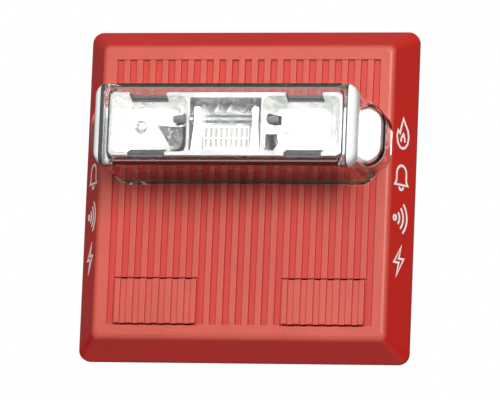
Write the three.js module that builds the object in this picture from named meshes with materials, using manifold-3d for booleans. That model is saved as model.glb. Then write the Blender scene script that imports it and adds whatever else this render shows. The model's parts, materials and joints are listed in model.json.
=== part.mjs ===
// Wall horn strobe: a clip-on cover with a clear box lens, a xenon flash tube in a twin-bowl
// reflector, a piezo horn and its circuit board, all carried by a plate that screws to a wiring box.
// Millimetres. +X right, +Z up, the wall is the plane y = 0 and the front looks along -Y.
// Depths are written as d, the distance in front of the wall, so y = -d.

import * as THREE from 'three';
import { mergeVertices } from 'three/addons/utils/BufferGeometryUtils.js';
import Module from 'manifold-3d';

const wasm = await Module();
wasm.setup();

// ---- driving dimensions ----
const gap = 0.3;                  // left between neighbours that touch

const coverSide = 133.4;          // outer back edge, both ways
const coverDepth = 14.3;          // wall to front face
const coverWall = 2.4;
const skirtDepth = 2.2;           // upright edge before the bevel starts
const bevelRun = 8.2;             // how far the bevel comes in over its height
const backCorner = 4.5;
const faceCorner = 2.5;
const edgeRound = 3.0;            // soft edge between bevel and face
const stopHalf = 4.0;             // stops inside the cover that rest on the plate
const stopDepth = 2.0;

const grooveCount = 21;
const sideGrooves = 8;            // grooves in the left and in the right group
const fieldMargin = 5.2;          // plain border round the grooved field
const grooveDepth = 1.2;
const sideDrop = 0.4;             // the side groups' ribs lie this far below the border
const windowHeight = 18.5;        // sound windows in the two lower corners
const windowRise = 0.8;
const moatWidth = 0.8;            // narrow channel round each sound window
const moatDepth = 1.4;

const lensSideMargin = 6.2;       // face edge to lens end
const lensBottom = 3.7;
const lensHeight = 32.5;
const lensProud = 40.7;           // front of the lens ahead of the face
const lensWall = 1.8;
const lensCorner = 5.0;
const lensEdge = 3.5;
const lensRear = 9.8;             // depth where the lens box starts, behind the face
const lipWidth = 0.9;
const lipHeight = 0.9;
const tabHalf = 4.0;              // tabs that hold the lens behind the cover's face
const tabReach = 1.2;
const tabThickness = 1.0;
const earReach = 6.9;             // how far each ear stands out from the lens end
const earHalf = 12.5;
const earFront = 32.0;
const earCorner = 8.0;
const earWall = 1.4;
const insertDepth = 8.0;          // white insert in each ear, back from the ear's front
const bandWidth = 3.8;            // white end bands on the lens front
const bandDepth = 7.0;
const rebateWall = 1.2;           // lens wall behind a band

const plateThickness = 2.2;
const plateInset = 1.0;           // cover inside to plate edge
const plateCorner = 3.0;
const boxHeight = 83.3;           // screw spacing of the wiring boxes, up and down
const boxWidth = 46.0;            // screw spacing of a two-gang box, across
const slotWidth = 4.6;
const slotLength = 9.0;
const landingMargin = 3.6;        // raised landing round each screw slot
const landingHeight = 0.4;
const windowHalfX = 20.0;         // wiring window through the plate
const windowTop = -6.0;
const windowBottom = -34.0;
const bossRadius = 3.6;
const bossHeight = 2.1;
const latchHeight = 4.6;          // spring latches that hold the cover, on the plate's ends
const latchThickness = 1.2;
const latchNose = 0.8;
const latchHalf = 6.0;
const noseHeight = 1.8;

const boardThickness = 1.6;
const boardInset = 4.4;           // cover inside to board edge
const boardBottom = -35.0;
const screwInset = 5.0;           // board edge to screw centre
const screwShaft = 1.45;
const screwHead = 2.75;
const screwHeadHeight = 1.8;

const reflectorWall = 1.2;
const reflectorSlack = 0.6;       // reflector side to lens, left and right
const reflectorRim = 2.0;         // reflector to lens, above and below
const bowlFloor = 45.0;           // depth of the flat at the bottom of each bowl
const bowlFlatX = 10.0;           // half size of that flat
const bowlFlatZ = 8.0;
const bowlRim = 2.0;              // rim above and below each bowl
const notchInner = 6.7;           // cut-outs in the rim above and below each bowl, from its middle
const notchOuter = 8.1;
const notchHeight = 3.0;
const notchDepth = 6.0;
const pinRadius = 1.2;
const fixingScrewOffset = 4.6;    // screw in the left bowl, outwards from its middle
const locatingPinOffset = 6.4;    // pin in the right bowl, inwards from its middle
const shellCorner = 2.4;          // corners of the reflector and its frame
const leadWindowOffset = 4.6;     // windows in the bowls for the tube's leads, outwards from the trough
const leadWindowHalfX = 2.3;
const leadWindowHalfZ = 2.0;
const troughHalf = 14.2;
const troughFloor = 38.0;
const frameTop = 24.0;
const frameWall = 1.5;
const frameBarHalf = 4.0;         // cross bars that carry the bosses
const frameBarThickness = 1.8;
const frameBossRadius = 3.6;
const frameTabHalf = 0.7;         // tabs that locate the frame in the board
const frameTabWidth = 1.5;
const pinHeadRadius = 2.6;
const pinBore = 0.7;
const tubeRadius = 1.6;
const tubeHalf = 13.0;
const tubeDepth = 48.0;
const tubeRaise = 2.6;            // tube above the lens centre
const electrodeLength = 6.4;
const leadRadius = 0.45;
const saddleWaistHalf = 1.2;      // tube holders, splayed towards the foot
const saddleFootHalf = 2.2;
const fluteCount = 9;

const hornRadius = 18.0;
const hornX = 0;
const hornZ = -16.5;
const hornWall = 1.3;
const piezoLedge = 3.3;           // width of the ledge that carries the piezo's rim
const hornLug = 2.4;              // horn wall to the centre of its fixing screws
const hornScrewShaft = 1.3;
const hornHeight = 4.9;
const hornPorts = 6;              // round the cap's middle port
const portRadius = 2.2;

const terminalPitch = 8.0;
const terminalWays = 4;
const terminalHeight = 11.0;
const terminalRear = -7.2;        // the block stands this far out behind the wall plane
const terminalZ = -16.0;
const terminalScrewRadius = 1.5;
const terminalHeadRadius = 2.7;
const chamberHalf = 3.2;          // wire chamber under each screw
const clampHalf = 2.8;

// ---- sizes worked out from them ----
const coverHalf = coverSide / 2;
const faceHalf = coverHalf - bevelRun;
const innerBack = coverHalf - coverWall;
const innerFace = faceHalf - 0.8 * coverWall;
const underFace = coverDepth - coverWall;
const fieldHalf = faceHalf - fieldMargin;
const pitch = (2 * fieldHalf) / (grooveCount - 0.5);
const lensHalfX = faceHalf - lensSideMargin;
const lensHalfZ = lensHeight / 2;
const lensZ = lensBottom + lensHalfZ;
const lensFront = coverDepth + lensProud;
const cavityHalfX = lensHalfX - lensWall;
const cavityHalfZ = lensHalfZ - lensWall;
const frontCavityHalfX = lensHalfX - bandWidth - gap - rebateWall;
const seatDepth = coverDepth + gap;
const plateHalf = innerBack - plateInset;
const boardRear = plateThickness + bossHeight + gap;
const boardFront = boardRear + boardThickness;
const partSeat = boardFront + gap;
const innerSlope = (innerBack - innerFace) / (underFace - skirtDepth);
const innerAt = (d) => innerBack - (d - skirtDepth) * innerSlope;
const boardHalf = innerAt(boardFront) - boardInset;
const boardTop = lensZ + lensHalfZ + 1.2;
const reflectorHalfX = frontCavityHalfX - reflectorSlack;
const reflectorHalfZ = cavityHalfZ - reflectorRim;
const reflectorFront = lensFront - lensWall - 0.8;
const tubeZ = lensZ + tubeRaise;
const bowlX = (reflectorHalfX + troughHalf) / 2 + 0.1;
const bowlHalfX = (reflectorHalfX - troughHalf) / 2 - 0.7;
const fixingScrewX = -bowlX - fixingScrewOffset;
const locatingPinX = bowlX - locatingPinOffset;
const leadWindowX = troughHalf + leadWindowOffset;
const saddleX = tubeHalf - 1.4;
const frameTabs = [-1, 1].flatMap((x) => [-1, 1].map((z) => (
  [x * (reflectorHalfX - 0.9), lensZ + z * (reflectorHalfZ - 4)])));
const wireRadius = 0.35;
const wireX = 7.5;
const wireZ = lensZ + reflectorHalfZ - 4;
const coilX = 3;                  // trigger coil, under the end of its wire
const coilRadius = 4;
const coilMargin = 1.95;          // frame's inside to the coil
const coilZ = lensZ + reflectorHalfZ - frameWall - coilMargin - coilRadius;
const coilHeight = 8;
const canRadius = 6.2;            // flash capacitor, lying behind the left bowl
const canLength = 22.5;
const boardScrews = [];
for (const x of [-1, 1]) {
  for (const z of [boardBottom + screwInset, boardTop - screwInset]) {
    boardScrews.push([x * (boardHalf - screwInset), z]);
  }
}

// ---- solids ----
function toSolid(geometry) {
  const bare = geometry.index ? geometry.toNonIndexed() : geometry.clone();
  bare.deleteAttribute('normal');
  bare.deleteAttribute('uv');
  const merged = mergeVertices(bare, 1e-4);
  const mesh = new wasm.Mesh({
    numProp: 3,
    vertProperties: new Float32Array(merged.attributes.position.array),
    triVerts: new Uint32Array(merged.index.array),
  });
  return new wasm.Manifold(mesh);
}

function block(x0, x1, d0, d1, z0, z1) {
  const geometry = new THREE.BoxGeometry(x1 - x0, d1 - d0, z1 - z0);
  geometry.translate((x0 + x1) / 2, -(d0 + d1) / 2, (z0 + z1) / 2);
  return toSolid(geometry);
}

// a round bar along the depth
function disc(radius, d0, d1, x, z, sides = 24) {
  const geometry = new THREE.CylinderGeometry(radius, radius, d1 - d0, sides);
  geometry.translate(x, -(d0 + d1) / 2, z);
  return toSolid(geometry);
}

// a round bar along X
function rod(radius, x0, x1, d, z, sides = 16) {
  const geometry = new THREE.CylinderGeometry(radius, radius, x1 - x0, sides);
  geometry.rotateZ(Math.PI / 2);
  geometry.translate((x0 + x1) / 2, -d, z);
  return toSolid(geometry);
}

// a closed profile of [radius, d] turned round an axis along the depth
function turned(profile, x, z, sides = 32) {
  const points = profile.map(([r, d]) => new THREE.Vector2(r, -d)).reverse();
  points.push(points[0].clone());
  const geometry = new THREE.LatheGeometry(points, sides);
  geometry.translate(x, 0, z);
  return toSolid(geometry);
}

function wire(radius, points) {
  const path = new THREE.CatmullRomCurve3(points.map(([x, d, z]) => new THREE.Vector3(x, -d, z)));
  const round = new THREE.Shape();
  round.absarc(0, 0, radius, 0, 2 * Math.PI);
  const options = { steps: 4 * points.length, curveSegments: 2, extrudePath: path };
  return toSolid(new THREE.ExtrudeGeometry(round, options));
}

// an outline of [x, z] points carried from depth d0 to d1
function slab(points, d0, d1) {
  const shape = new THREE.Shape(points.map(([x, z]) => new THREE.Vector2(x, z)));
  const geometry = new THREE.ExtrudeGeometry(shape, { depth: d1 - d0, bevelEnabled: false });
  geometry.rotateX(Math.PI / 2);
  geometry.translate(0, -d0, 0);
  return toSolid(geometry);
}

// outline of a rounded rectangle, anticlockwise seen from +Y
function outline(halfX, halfZ, radius, x, z, steps) {
  const r = Math.min(radius, halfX, halfZ);
  const points = [];
  const corners = [[1, 1, 0], [-1, 1, 1], [-1, -1, 2], [1, -1, 3]];
  for (const [sx, sz, quarter] of corners) {
    for (let i = 0; i <= steps; i++) {
      const angle = (quarter + i / steps) * (Math.PI / 2);
      points.push([x + sx * (halfX - r) + r * Math.cos(angle), z + sz * (halfZ - r) + r * Math.sin(angle)]);
    }
  }
  return points;
}

// a solid whose rounded-rectangle section changes with depth; rings go from the back to the front
function loft(rings, x = 0, z = 0, steps = 4) {
  const positions = [];
  for (const { d, halfX, halfZ, radius } of rings) {
    for (const [px, pz] of outline(halfX, halfZ, radius, x, z, steps)) positions.push(px, -d, pz);
  }
  const count = 4 * (steps + 1);
  const index = [];
  for (let k = 0; k + 1 < rings.length; k++) {
    for (let i = 0; i < count; i++) {
      const a = k * count + i;
      const b = k * count + ((i + 1) % count);
      index.push(a, b, b + count, a, b + count, a + count);
    }
  }
  const last = (rings.length - 1) * count;
  for (let i = 1; i + 1 < count; i++) {
    index.push(0, i + 1, i);
    index.push(last, last + i, last + i + 1);
  }
  const geometry = new THREE.BufferGeometry();
  geometry.setAttribute('position', new THREE.Float32BufferAttribute(positions, 3));
  geometry.setIndex(index);
  return toSolid(geometry);
}

// profile of [inset, d] points whose inner corners are rounded by the given radii
function softened(points, radii, steps) {
  const result = [points[0]];
  for (let k = 1; k + 1 < points.length; k++) {
    const corner = new THREE.Vector2(...points[k]);
    const back = new THREE.Vector2(...points[k - 1]).sub(corner);
    const ahead = new THREE.Vector2(...points[k + 1]).sub(corner);
    const turn = Math.PI - Math.abs(back.angleTo(ahead));
    const reach = Math.min(radii[k - 1] * Math.tan(turn / 2), back.length() / 2, ahead.length() / 2);
    const start = corner.clone().add(back.setLength(reach));
    const end = corner.clone().add(ahead.setLength(reach));
    const curve = new THREE.QuadraticBezierCurve(start, corner, end);
    for (const point of curve.getPoints(steps)) result.push([point.x, point.y]);
  }
  result.push(points[points.length - 1]);
  return result;
}

// a rounded block whose front edge is softened
function softBlock(size, d0, d1, edge, x = 0, z = 0, steps = 4) {
  const profile = softened([[0, d0], [0, d1], [2 * edge, d1]], [edge], 3);
  const rings = profile.slice(0, -1).map(([inset, d]) => ({
    d,
    halfX: size.halfX - inset,
    halfZ: size.halfZ - inset,
    radius: Math.max(size.radius - inset, 0.4),
  }));
  return loft(rings, x, z, steps);
}

function joinAll(solids) {
  return solids.reduce((sum, solid) => sum.add(solid));
}

// ---- front cover ----
function coverShell() {
  const radiusAt = (half) => backCorner + ((coverHalf - half) * (faceCorner - backCorner)) / bevelRun;
  const ring = (half, d) => ({ d, halfX: half, halfZ: half, radius: radiusAt(half) });
  const corners = [[coverHalf, 0], [coverHalf, skirtDepth], [faceHalf, coverDepth], [0, coverDepth]];
  const outside = softened(corners, [1.0, edgeRound], 3).slice(0, -1).map(([half, d]) => ring(half, d));
  const inside = [[innerBack, -1], [innerBack, skirtDepth], [innerFace, underFace]];
  return loft(outside).subtract(loft(inside.map(([half, d]) => ring(half, d))));
}

function grooveStart(k) {
  return -fieldHalf + k * pitch;
}

// x range of the sound window on one side: it starts and ends on a rib
function windowRange(side) {
  const near = grooveStart(sideGrooves - 1);
  const far = grooveStart(0) + pitch / 2;
  return side < 0 ? [far, near] : [-near, -far];
}

function soundWindow(shell, side) {
  const [x0, x1] = windowRange(side);
  const z0 = -fieldHalf;
  const z1 = z0 + windowHeight;
  const top = coverDepth + windowRise;
  const h = moatWidth / 2;
  const moat = block(x0 - h, x1 + h, coverDepth - moatDepth, top + 1, z0 - h, z1 + h);
  let island = block(x0 + h, x1 - h, coverDepth - moatDepth - gap, top, z0 + h, z1 - h);
  const slots = [];
  for (let k = 0; k < grooveCount; k++) {
    const left = grooveStart(k);
    const right = left + pitch / 2;
    if (left < x0 || right > x1) continue;
    island = island.subtract(block(left, right, coverDepth - sideDrop, top + 1, z0, z1));
    for (const z of [z0, z1]) slots.push(block(left, right, underFace - 1, top, z - h, z + h));
  }
  return shell.subtract(moat).add(island).subtract(joinAll(slots));
}

// stops that rest on the plate, inside each side of the cover
function coverStops() {
  const stops = [];
  const d0 = plateThickness + gap;
  for (const side of [-1, 1]) {
    for (const along of [-1, 1]) {
      const near = along * faceHalf * 0.6;
      const reach = [plateHalf - 1.2, innerBack + 0.6].map((v) => side * v).sort((a, b) => a - b);
      stops.push(block(reach[0], reach[1], d0, d0 + stopDepth, near - stopHalf, near + stopHalf));
      stops.push(block(near - stopHalf, near + stopHalf, d0, d0 + stopDepth, reach[0], reach[1]));
    }
  }
  return joinAll(stops);
}

function frontCover() {
  let shell = coverShell().add(coverStops());
  const sideWidth = (sideGrooves - 0.5) * pitch;
  for (const side of [-1, 1]) {
    const [x0, x1] = [side * fieldHalf, side * (fieldHalf - sideWidth)].sort((a, b) => a - b);
    shell = shell.subtract(block(x0, x1, coverDepth - sideDrop, coverDepth + 1, -fieldHalf, fieldHalf));
  }
  const grooves = [];
  for (let k = 0; k < grooveCount; k++) {
    const x = grooveStart(k);
    grooves.push(block(x, x + pitch / 2, coverDepth - grooveDepth, coverDepth + 1, -fieldHalf, fieldHalf));
  }
  shell = shell.subtract(joinAll(grooves));
  for (const side of [-1, 1]) shell = soundWindow(shell, side);
  const opening = { halfX: lensHalfX + gap, halfZ: lensHalfZ + gap, radius: lensCorner + gap };
  const rings = [underFace - 2, coverDepth + 2].map((d) => ({ d, ...opening }));
  return shell.subtract(loft(rings, 0, lensZ));
}

// ---- lens and what it carries ----
const lensBox = { halfX: lensHalfX, halfZ: lensHalfZ, radius: lensCorner };

function lensOutside() {
  return softBlock(lensBox, lensRear, lensFront, lensEdge, 0, lensZ);
}

// the ear's outline, grown by a signed amount; its inner end reaches into the lens box
function earForm(side, grow, d0, d1, edge) {
  const outer = lensHalfX + earReach + grow;
  const inner = lensHalfX - earCorner;
  const size = { halfX: (outer - inner) / 2, halfZ: earHalf + grow, radius: earCorner + grow };
  return softBlock(size, d0, d1, edge, (side * (outer + inner)) / 2, lensZ);
}

function bandZone(side, grow) {
  const inner = lensHalfX - bandWidth - grow;
  const [x0, x1] = [side * inner, side * (lensHalfX + 1)].sort((a, b) => a - b);
  const rear = lensFront - bandDepth - grow;
  return block(x0, x1, rear, lensFront + 1, lensBottom - 1, lensBottom + lensHeight + 1);
}

function lens() {
  const lip = { halfX: lensHalfX + lipWidth, halfZ: lensHalfZ + lipWidth, radius: lensCorner + lipWidth };
  const lipRings = [seatDepth, seatDepth + lipHeight].map((d) => ({ d, ...lip }));
  let solid = lensOutside().add(loft(lipRings, 0, lensZ));
  const tabTop = underFace - gap;
  for (const x of [-0.6, 0.6]) {
    const tab = [x * lensHalfX - tabHalf, x * lensHalfX + tabHalf, tabTop - tabThickness, tabTop];
    solid = solid.add(block(...tab, lensZ - lensHalfZ - tabReach, lensZ + lensHalfZ + tabReach));
  }
  for (const side of [-1, 1]) solid = solid.add(earForm(side, 0, seatDepth, earFront, 3));
  const main = { halfX: cavityHalfX, halfZ: cavityHalfZ, radius: lensCorner - lensWall };
  const front = { halfX: frontCavityHalfX, halfZ: cavityHalfZ, radius: lensCorner - lensWall };
  const step = lensFront - bandDepth - gap - rebateWall;
  solid = solid.subtract(loft([lensRear - 1, step].map((d) => ({ d, ...main })), 0, lensZ));
  solid = solid.subtract(loft([step - 1, lensFront - lensWall].map((d) => ({ d, ...front })), 0, lensZ));
  for (const side of [-1, 1]) {
    solid = solid.subtract(earForm(side, -earWall, seatDepth - 1, earFront - earWall, 2));
    solid = solid.subtract(bandZone(side, gap));
  }
  return solid;
}

function endBand(side) {
  return lensOutside().intersect(bandZone(side, 0));
}

function earInsert(side) {
  const inset = earWall + gap;
  const form = earForm(side, -inset, earFront - insertDepth, earFront - inset, 2);
  const [x0, x1] = [side * (reflectorHalfX + 1), side * coverHalf].sort((a, b) => a - b);
  return form.intersect(block(x0, x1, 0, lensFront, lensZ - lensHeight, lensZ + lensHeight));
}

// ---- reflector, its frame and the flash tube ----
function bowlForm(side, grow) {
  const rings = [];
  const steps = 5;
  const floor = bowlFloor - grow;
  for (let k = 0; k <= steps; k++) {
    const t = k / steps;
    const open = Math.sqrt(t);
    const front = k === steps ? reflectorFront + 1 : floor + t * (reflectorFront - floor);
    rings.push({
      d: front,
      halfX: bowlFlatX + grow + (bowlHalfX - bowlFlatX) * open,
      halfZ: bowlFlatZ + grow + (reflectorHalfZ - bowlRim - bowlFlatZ) * open,
      radius: 3 + grow,
    });
  }
  return loft(rings, side * bowlX, lensZ, 3);
}

// a block the size of the reflector's sides, drawn in by a wall
function shellForm(wall, d0, d1) {
  const size = { halfX: reflectorHalfX - wall, halfZ: reflectorHalfZ - wall, radius: shellCorner - wall };
  return loft([d0, d1].map((d) => ({ d, ...size })), 0, lensZ, 3);
}

function reflector() {
  const rear = frameTop + gap;
  const w = reflectorWall;
  const body = shellForm(0, rear, reflectorFront);
  let solid = body.subtract(shellForm(w, rear - 1, reflectorFront - w));
  const z0 = lensZ - reflectorHalfZ + 1;
  const z1 = lensZ + reflectorHalfZ - 1;
  let shells = block(-troughHalf - w, troughHalf + w, troughFloor - w, reflectorFront, z0, z1);
  for (const side of [-1, 1]) shells = shells.add(bowlForm(side, w).intersect(body));
  solid = solid.add(shells);
  for (const side of [-1, 1]) {
    solid = solid.subtract(bowlForm(side, 0));
    const x = side * leadWindowX;
    const window = [x - leadWindowHalfX, x + leadWindowHalfX, bowlFloor - w - 1, reflectorFront + 1];
    solid = solid.subtract(block(...window, tubeZ - leadWindowHalfZ, tubeZ + leadWindowHalfZ));
    const [fixing, fixingX] = side < 0 ? [screwShaft + gap, fixingScrewX] : [pinRadius + gap, locatingPinX];
    solid = solid.subtract(disc(fixing, bowlFloor - 3, bowlFloor + 1, fixingX, lensZ));
    const [n0, n1] = [bowlX - notchInner, bowlX + notchOuter].map((v) => side * v).sort((a, b) => a - b);
    for (const up of [-1, 1]) {
      const rim = lensZ + up * reflectorHalfZ;
      const [m0, m1] = [rim - up * notchHeight, rim + up].sort((a, b) => a - b);
      solid = solid.subtract(block(n0, n1, reflectorFront - notchDepth, reflectorFront + 1, m0, m1));
    }
  }
  const reach = leadWindowX + leadWindowHalfX;
  solid = solid.subtract(block(-troughHalf, troughHalf, troughFloor, reflectorFront + 1, z0 + 1, z1 - 1));
  solid = solid.subtract(disc(wireRadius + 0.6, troughFloor - 3, troughFloor + 1, wireX, wireZ, 12));
  return solid.subtract(rod(tubeRadius + 0.6, -reach, reach, tubeDepth, tubeZ));
}

function reflectorFrame() {
  const z0 = lensZ - reflectorHalfZ + 0.5;
  const z1 = lensZ + reflectorHalfZ - 0.5;
  let solid = shellForm(0, partSeat, frameTop).subtract(shellForm(frameWall, partSeat - 1, frameTop + 1));
  for (const side of [-1, 1]) {
    const x = side < 0 ? fixingScrewX : locatingPinX;
    const barTop = frameTop - 0.8;
    solid = solid.add(block(x - frameBarHalf, x + frameBarHalf, barTop - frameBarThickness, barTop, z0, z1));
    solid = solid.add(disc(frameBossRadius, frameTop - 1, bowlFloor - reflectorWall - gap, x, lensZ));
  }
  for (const [x, z] of frameTabs) {
    const tab = [x - frameTabHalf, x + frameTabHalf, boardRear, partSeat + 1];
    solid = solid.add(block(...tab, z - frameTabWidth, z + frameTabWidth));
  }
  const screwHole = disc(screwShaft + gap, frameTop - 3, bowlFloor, fixingScrewX, lensZ);
  const pinHole = disc(pinRadius + gap, frameTop - 3, bowlFloor, locatingPinX, lensZ);
  return solid.subtract(screwHole).subtract(pinHole);
}

// pan-head screw with a cross recess; it points into the wall side, its head seats at depth d
function screw(x, z, d, length, shaft, head, height) {
  let solid = disc(head, d, d + height, x, z, 20).add(disc(shaft, d - length, d + 0.1, x, z, 12));
  const arm = head * 0.6;
  const top = d + height;
  solid = solid.subtract(block(x - arm, x + arm, top - 0.8, top + 1, z - 0.3, z + 0.3));
  return solid.subtract(block(x - 0.3, x + 0.3, top - 0.8, top + 1, z - arm, z + arm));
}

function locatingPin() {
  const head = disc(pinHeadRadius, bowlFloor + gap, bowlFloor + 1.1, locatingPinX, lensZ);
  const shank = disc(pinRadius, frameTop - 2, bowlFloor + 0.5, locatingPinX, lensZ, 12);
  return head.add(shank).subtract(disc(pinBore, bowlFloor, bowlFloor + 2, locatingPinX, lensZ, 12));
}

function electrode(side) {
  const start = tubeHalf + gap;
  const [x0, x1] = [side * start, side * (start + electrodeLength)].sort((a, b) => a - b);
  const cap = rod(tubeRadius * 0.85, x0, x1, tubeDepth, tubeZ, 12);
  const end = side * (start + electrodeLength - 1);
  const points = [tubeDepth, tubeDepth - 4, boardFront + 12, partSeat].map((d) => [end, d, tubeZ]);
  return cap.add(wire(leadRadius, points));
}

// white saddle that carries one end of the tube, splayed towards its foot
function tubeHolder(side) {
  const foot = lensZ - reflectorHalfZ + 2 + gap;
  const waist = tubeZ - 3;
  const top = tubeZ + 4.6;
  const [a, b] = [saddleWaistHalf, saddleFootHalf];
  const shape = [[-b, foot], [b, foot], [a, waist], [a, top], [-a, top], [-a, waist]];
  const x = side * saddleX;
  const body = slab(shape.map(([px, pz]) => [x + px, pz]), troughFloor + gap, tubeDepth + 2.6);
  return body.subtract(rod(tubeRadius + gap, x - b - 1, x + b + 1, tubeDepth, tubeZ));
}

// fluted white panel between the holders, under the tube
function tubePanel() {
  const halfX = saddleX - saddleFootHalf - gap;
  const z0 = lensZ - reflectorHalfZ + 2 + gap;
  const z1 = tubeZ - tubeRadius - 1;
  const front = tubeDepth + 1;
  let panel = block(-halfX, halfX, front - 1.4, front, z0, z1);
  panel = panel.add(block(-halfX, halfX, troughFloor + gap, front - 1, z0, z0 + 1.2));
  const step = (2 * halfX) / fluteCount;
  for (let k = 0; k < fluteCount; k++) {
    const x = -halfX + (k + 0.5) * step;
    panel = panel.subtract(block(x - step / 4, x + step / 4, front - 0.5, front + 1, z0 + 1.6, z1 - 1.2));
  }
  return panel;
}

// runs along the top of the tube, back through the trough floor and down to the coil
function triggerWire() {
  const z = tubeZ + tubeRadius + gap + wireRadius;
  const start = [[-7, tubeDepth, z], [0, tubeDepth, z], [6, tubeDepth, z], [wireX, tubeDepth - 3, wireZ - 1]];
  const back = [[wireX, troughFloor + 4, wireZ], [wireX, troughFloor - 6, wireZ]];
  const end = [[5, partSeat + 14, wireZ - 2], [coilX, partSeat + 9.3, coilZ]];
  return wire(wireRadius, [...start, ...back, ...end]);
}

// ---- plate and circuit board ----
function slot(x, z) {
  const size = { halfX: slotLength / 2, halfZ: slotWidth / 2, radius: slotWidth / 2 };
  return loft([-1, plateThickness + 1].map((d) => ({ d, ...size })), x, z);
}

function landing(x, z) {
  const halfZ = slotWidth / 2 + landingMargin;
  const size = { halfX: slotLength / 2 + landingMargin, halfZ, radius: halfZ };
  return loft([plateThickness - 1, plateThickness + landingHeight].map((d) => ({ d, ...size })), x, z);
}

function mountingPlate() {
  const size = { halfX: plateHalf, halfZ: plateHalf, radius: plateCorner };
  let plate = loft([0, plateThickness].map((d) => ({ d, ...size })));
  const slots = [-1, 1].flatMap((z) => [-1, 0, 1].map((x) => [(x * boxWidth) / 2, (z * boxHeight) / 2]));
  for (const [x, z] of slots) plate = plate.add(landing(x, z));
  for (const [x, z] of slots) plate = plate.subtract(slot(x, z));
  for (const [x, z] of boardScrews) {
    plate = plate.add(disc(bossRadius, 1, plateThickness + bossHeight, x, z));
    plate = plate.subtract(disc(screwShaft + gap, 0.8, boardRear, x, z, 12));
  }
  const latchTop = plateThickness + latchHeight;
  const latch = innerAt(latchTop) - gap - latchNose;
  for (const side of [-1, 1]) {
    const [x0, x1] = [side * (latch - latchThickness), side * latch].sort((a, b) => a - b);
    plate = plate.add(block(x0, x1, 1, latchTop, -latchHalf, latchHalf));
    const nose = [side * (latch - 0.1), side * (latch + latchNose)].sort((a, b) => a - b);
    plate = plate.add(block(nose[0], nose[1], latchTop - noseHeight, latchTop, -latchHalf, latchHalf));
  }
  const window = block(-windowHalfX, windowHalfX, -1, plateThickness + 1, windowBottom, windowTop);
  return plate.subtract(window);
}

function circuitBoard() {
  const halfZ = (boardTop - boardBottom) / 2;
  const size = { halfX: boardHalf, halfZ, radius: 3 };
  let board = loft([boardRear, boardFront].map((d) => ({ d, ...size })), 0, boardBottom + halfZ, 3);
  for (const [x, z] of boardScrews) {
    board = board.subtract(disc(screwShaft + gap, boardRear - 1, boardFront + 1, x, z, 12));
  }
  for (const side of [-1, 1]) {
    const x = hornX + side * (hornRadius + hornLug);
    board = board.subtract(disc(hornScrewShaft + gap, boardRear - 1, boardFront + 1, x, hornZ, 12));
  }
  const [tabX, tabZ] = [frameTabHalf + gap, frameTabWidth + gap];
  for (const [x, z] of frameTabs) {
    board = board.subtract(block(x - tabX, x + tabX, boardRear - 1, boardFront + 1, z - tabZ, z + tabZ));
  }
  return board;
}

// ---- parts on the board ----
function flashCapacitor() {
  const x0 = -reflectorHalfX + 2.4;
  const x1 = x0 + canLength;
  const r = canRadius;
  const z = lensZ;
  const can = rod(r, x0 + 1.4, x1, partSeat + r, z, 24);
  const neck = rod(r - 0.6, x0 + 0.6, x0 + 1.6, partSeat + r, z, 24);
  return can.add(neck).add(rod(r, x0, x0 + 0.7, partSeat + r, z, 24));
}

function triggerCoil() {
  const [r, top] = [coilRadius, partSeat + coilHeight];
  const profile = [[0, partSeat], [r, partSeat], [r, top], [1.2, top + 0.6], [0, top + 0.6]];
  return turned(profile, coilX, coilZ, 20);
}

const transformerX = 29;
const coreHalf = 8;
const coreHeight = 11;
const sideLeg = 2.4;
const middleLegHalf = 3.2;

function transformerCore() {
  const [x, z] = [transformerX, lensZ];
  const outer = block(x - coreHalf, x + coreHalf, partSeat, partSeat + coreHeight, z - 6.5, z + 6.5);
  const windows = [-1, 1].map((side) => {
    const [x0, x1] = [x + side * middleLegHalf, x + side * (coreHalf - sideLeg)].sort((a, b) => a - b);
    return block(x0, x1, partSeat - 1, partSeat + coreHeight + 1, z - 4.2, z + 4.2);
  });
  return outer.subtract(joinAll(windows));
}

// the winding wraps the core's middle leg with clearance
function transformerWinding() {
  const [x, z] = [transformerX, lensZ];
  const d0 = partSeat - 0.05;
  const half = coreHalf - sideLeg - gap;
  const inner = middleLegHalf + gap;
  const outer = block(x - half, x + half, d0, partSeat + coreHeight + 1, z - 3.9, z + 3.9);
  return outer.subtract(block(x - inner, x + inner, d0 - 1, partSeat + coreHeight + gap, z - 5, z + 5));
}

function controlChip() {
  const [x, z] = [-40, -6];
  let chip = block(x - 5, x + 5, partSeat, partSeat + 2.4, z - 3.2, z + 3.2);
  const legs = [];
  for (let k = 0; k < 7; k++) {
    const lx = x - 3.9 + 1.3 * k;
    legs.push(block(lx - 0.25, lx + 0.25, partSeat, partSeat + 1.3, z - 4.6, z + 4.6));
  }
  chip = chip.add(joinAll(legs));
  return chip.subtract(disc(0.6, partSeat + 2.1, partSeat + 3, x - 4, z - 2, 12));
}

// flat power package with a metal tab at its upper edge
function switchTransistor() {
  const [x, z] = [30, -3];
  const body = block(x - 3.2, x + 3.2, partSeat, partSeat + 2.3, z - 3, z + 3);
  const tab = block(x - 2.6, x + 2.6, partSeat, partSeat + 0.6, z + 2.9, z + 4.6);
  const legs = [x - 2.2, x + 2.2].map((lx) => (
    block(lx - 0.4, lx + 0.4, partSeat, partSeat + 0.6, z - 4.8, z - 2.9)));
  return joinAll([body, tab, ...legs]);
}

function blockingDiodes() {
  const diodes = [];
  for (const x of [-33, -28.5]) {
    diodes.push(block(x - 1.3, x + 1.3, partSeat, partSeat + 2.2, -26, -21.5));
  }
  return diodes;
}

// ---- horn ----
const hornBore = hornRadius - hornWall;

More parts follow.
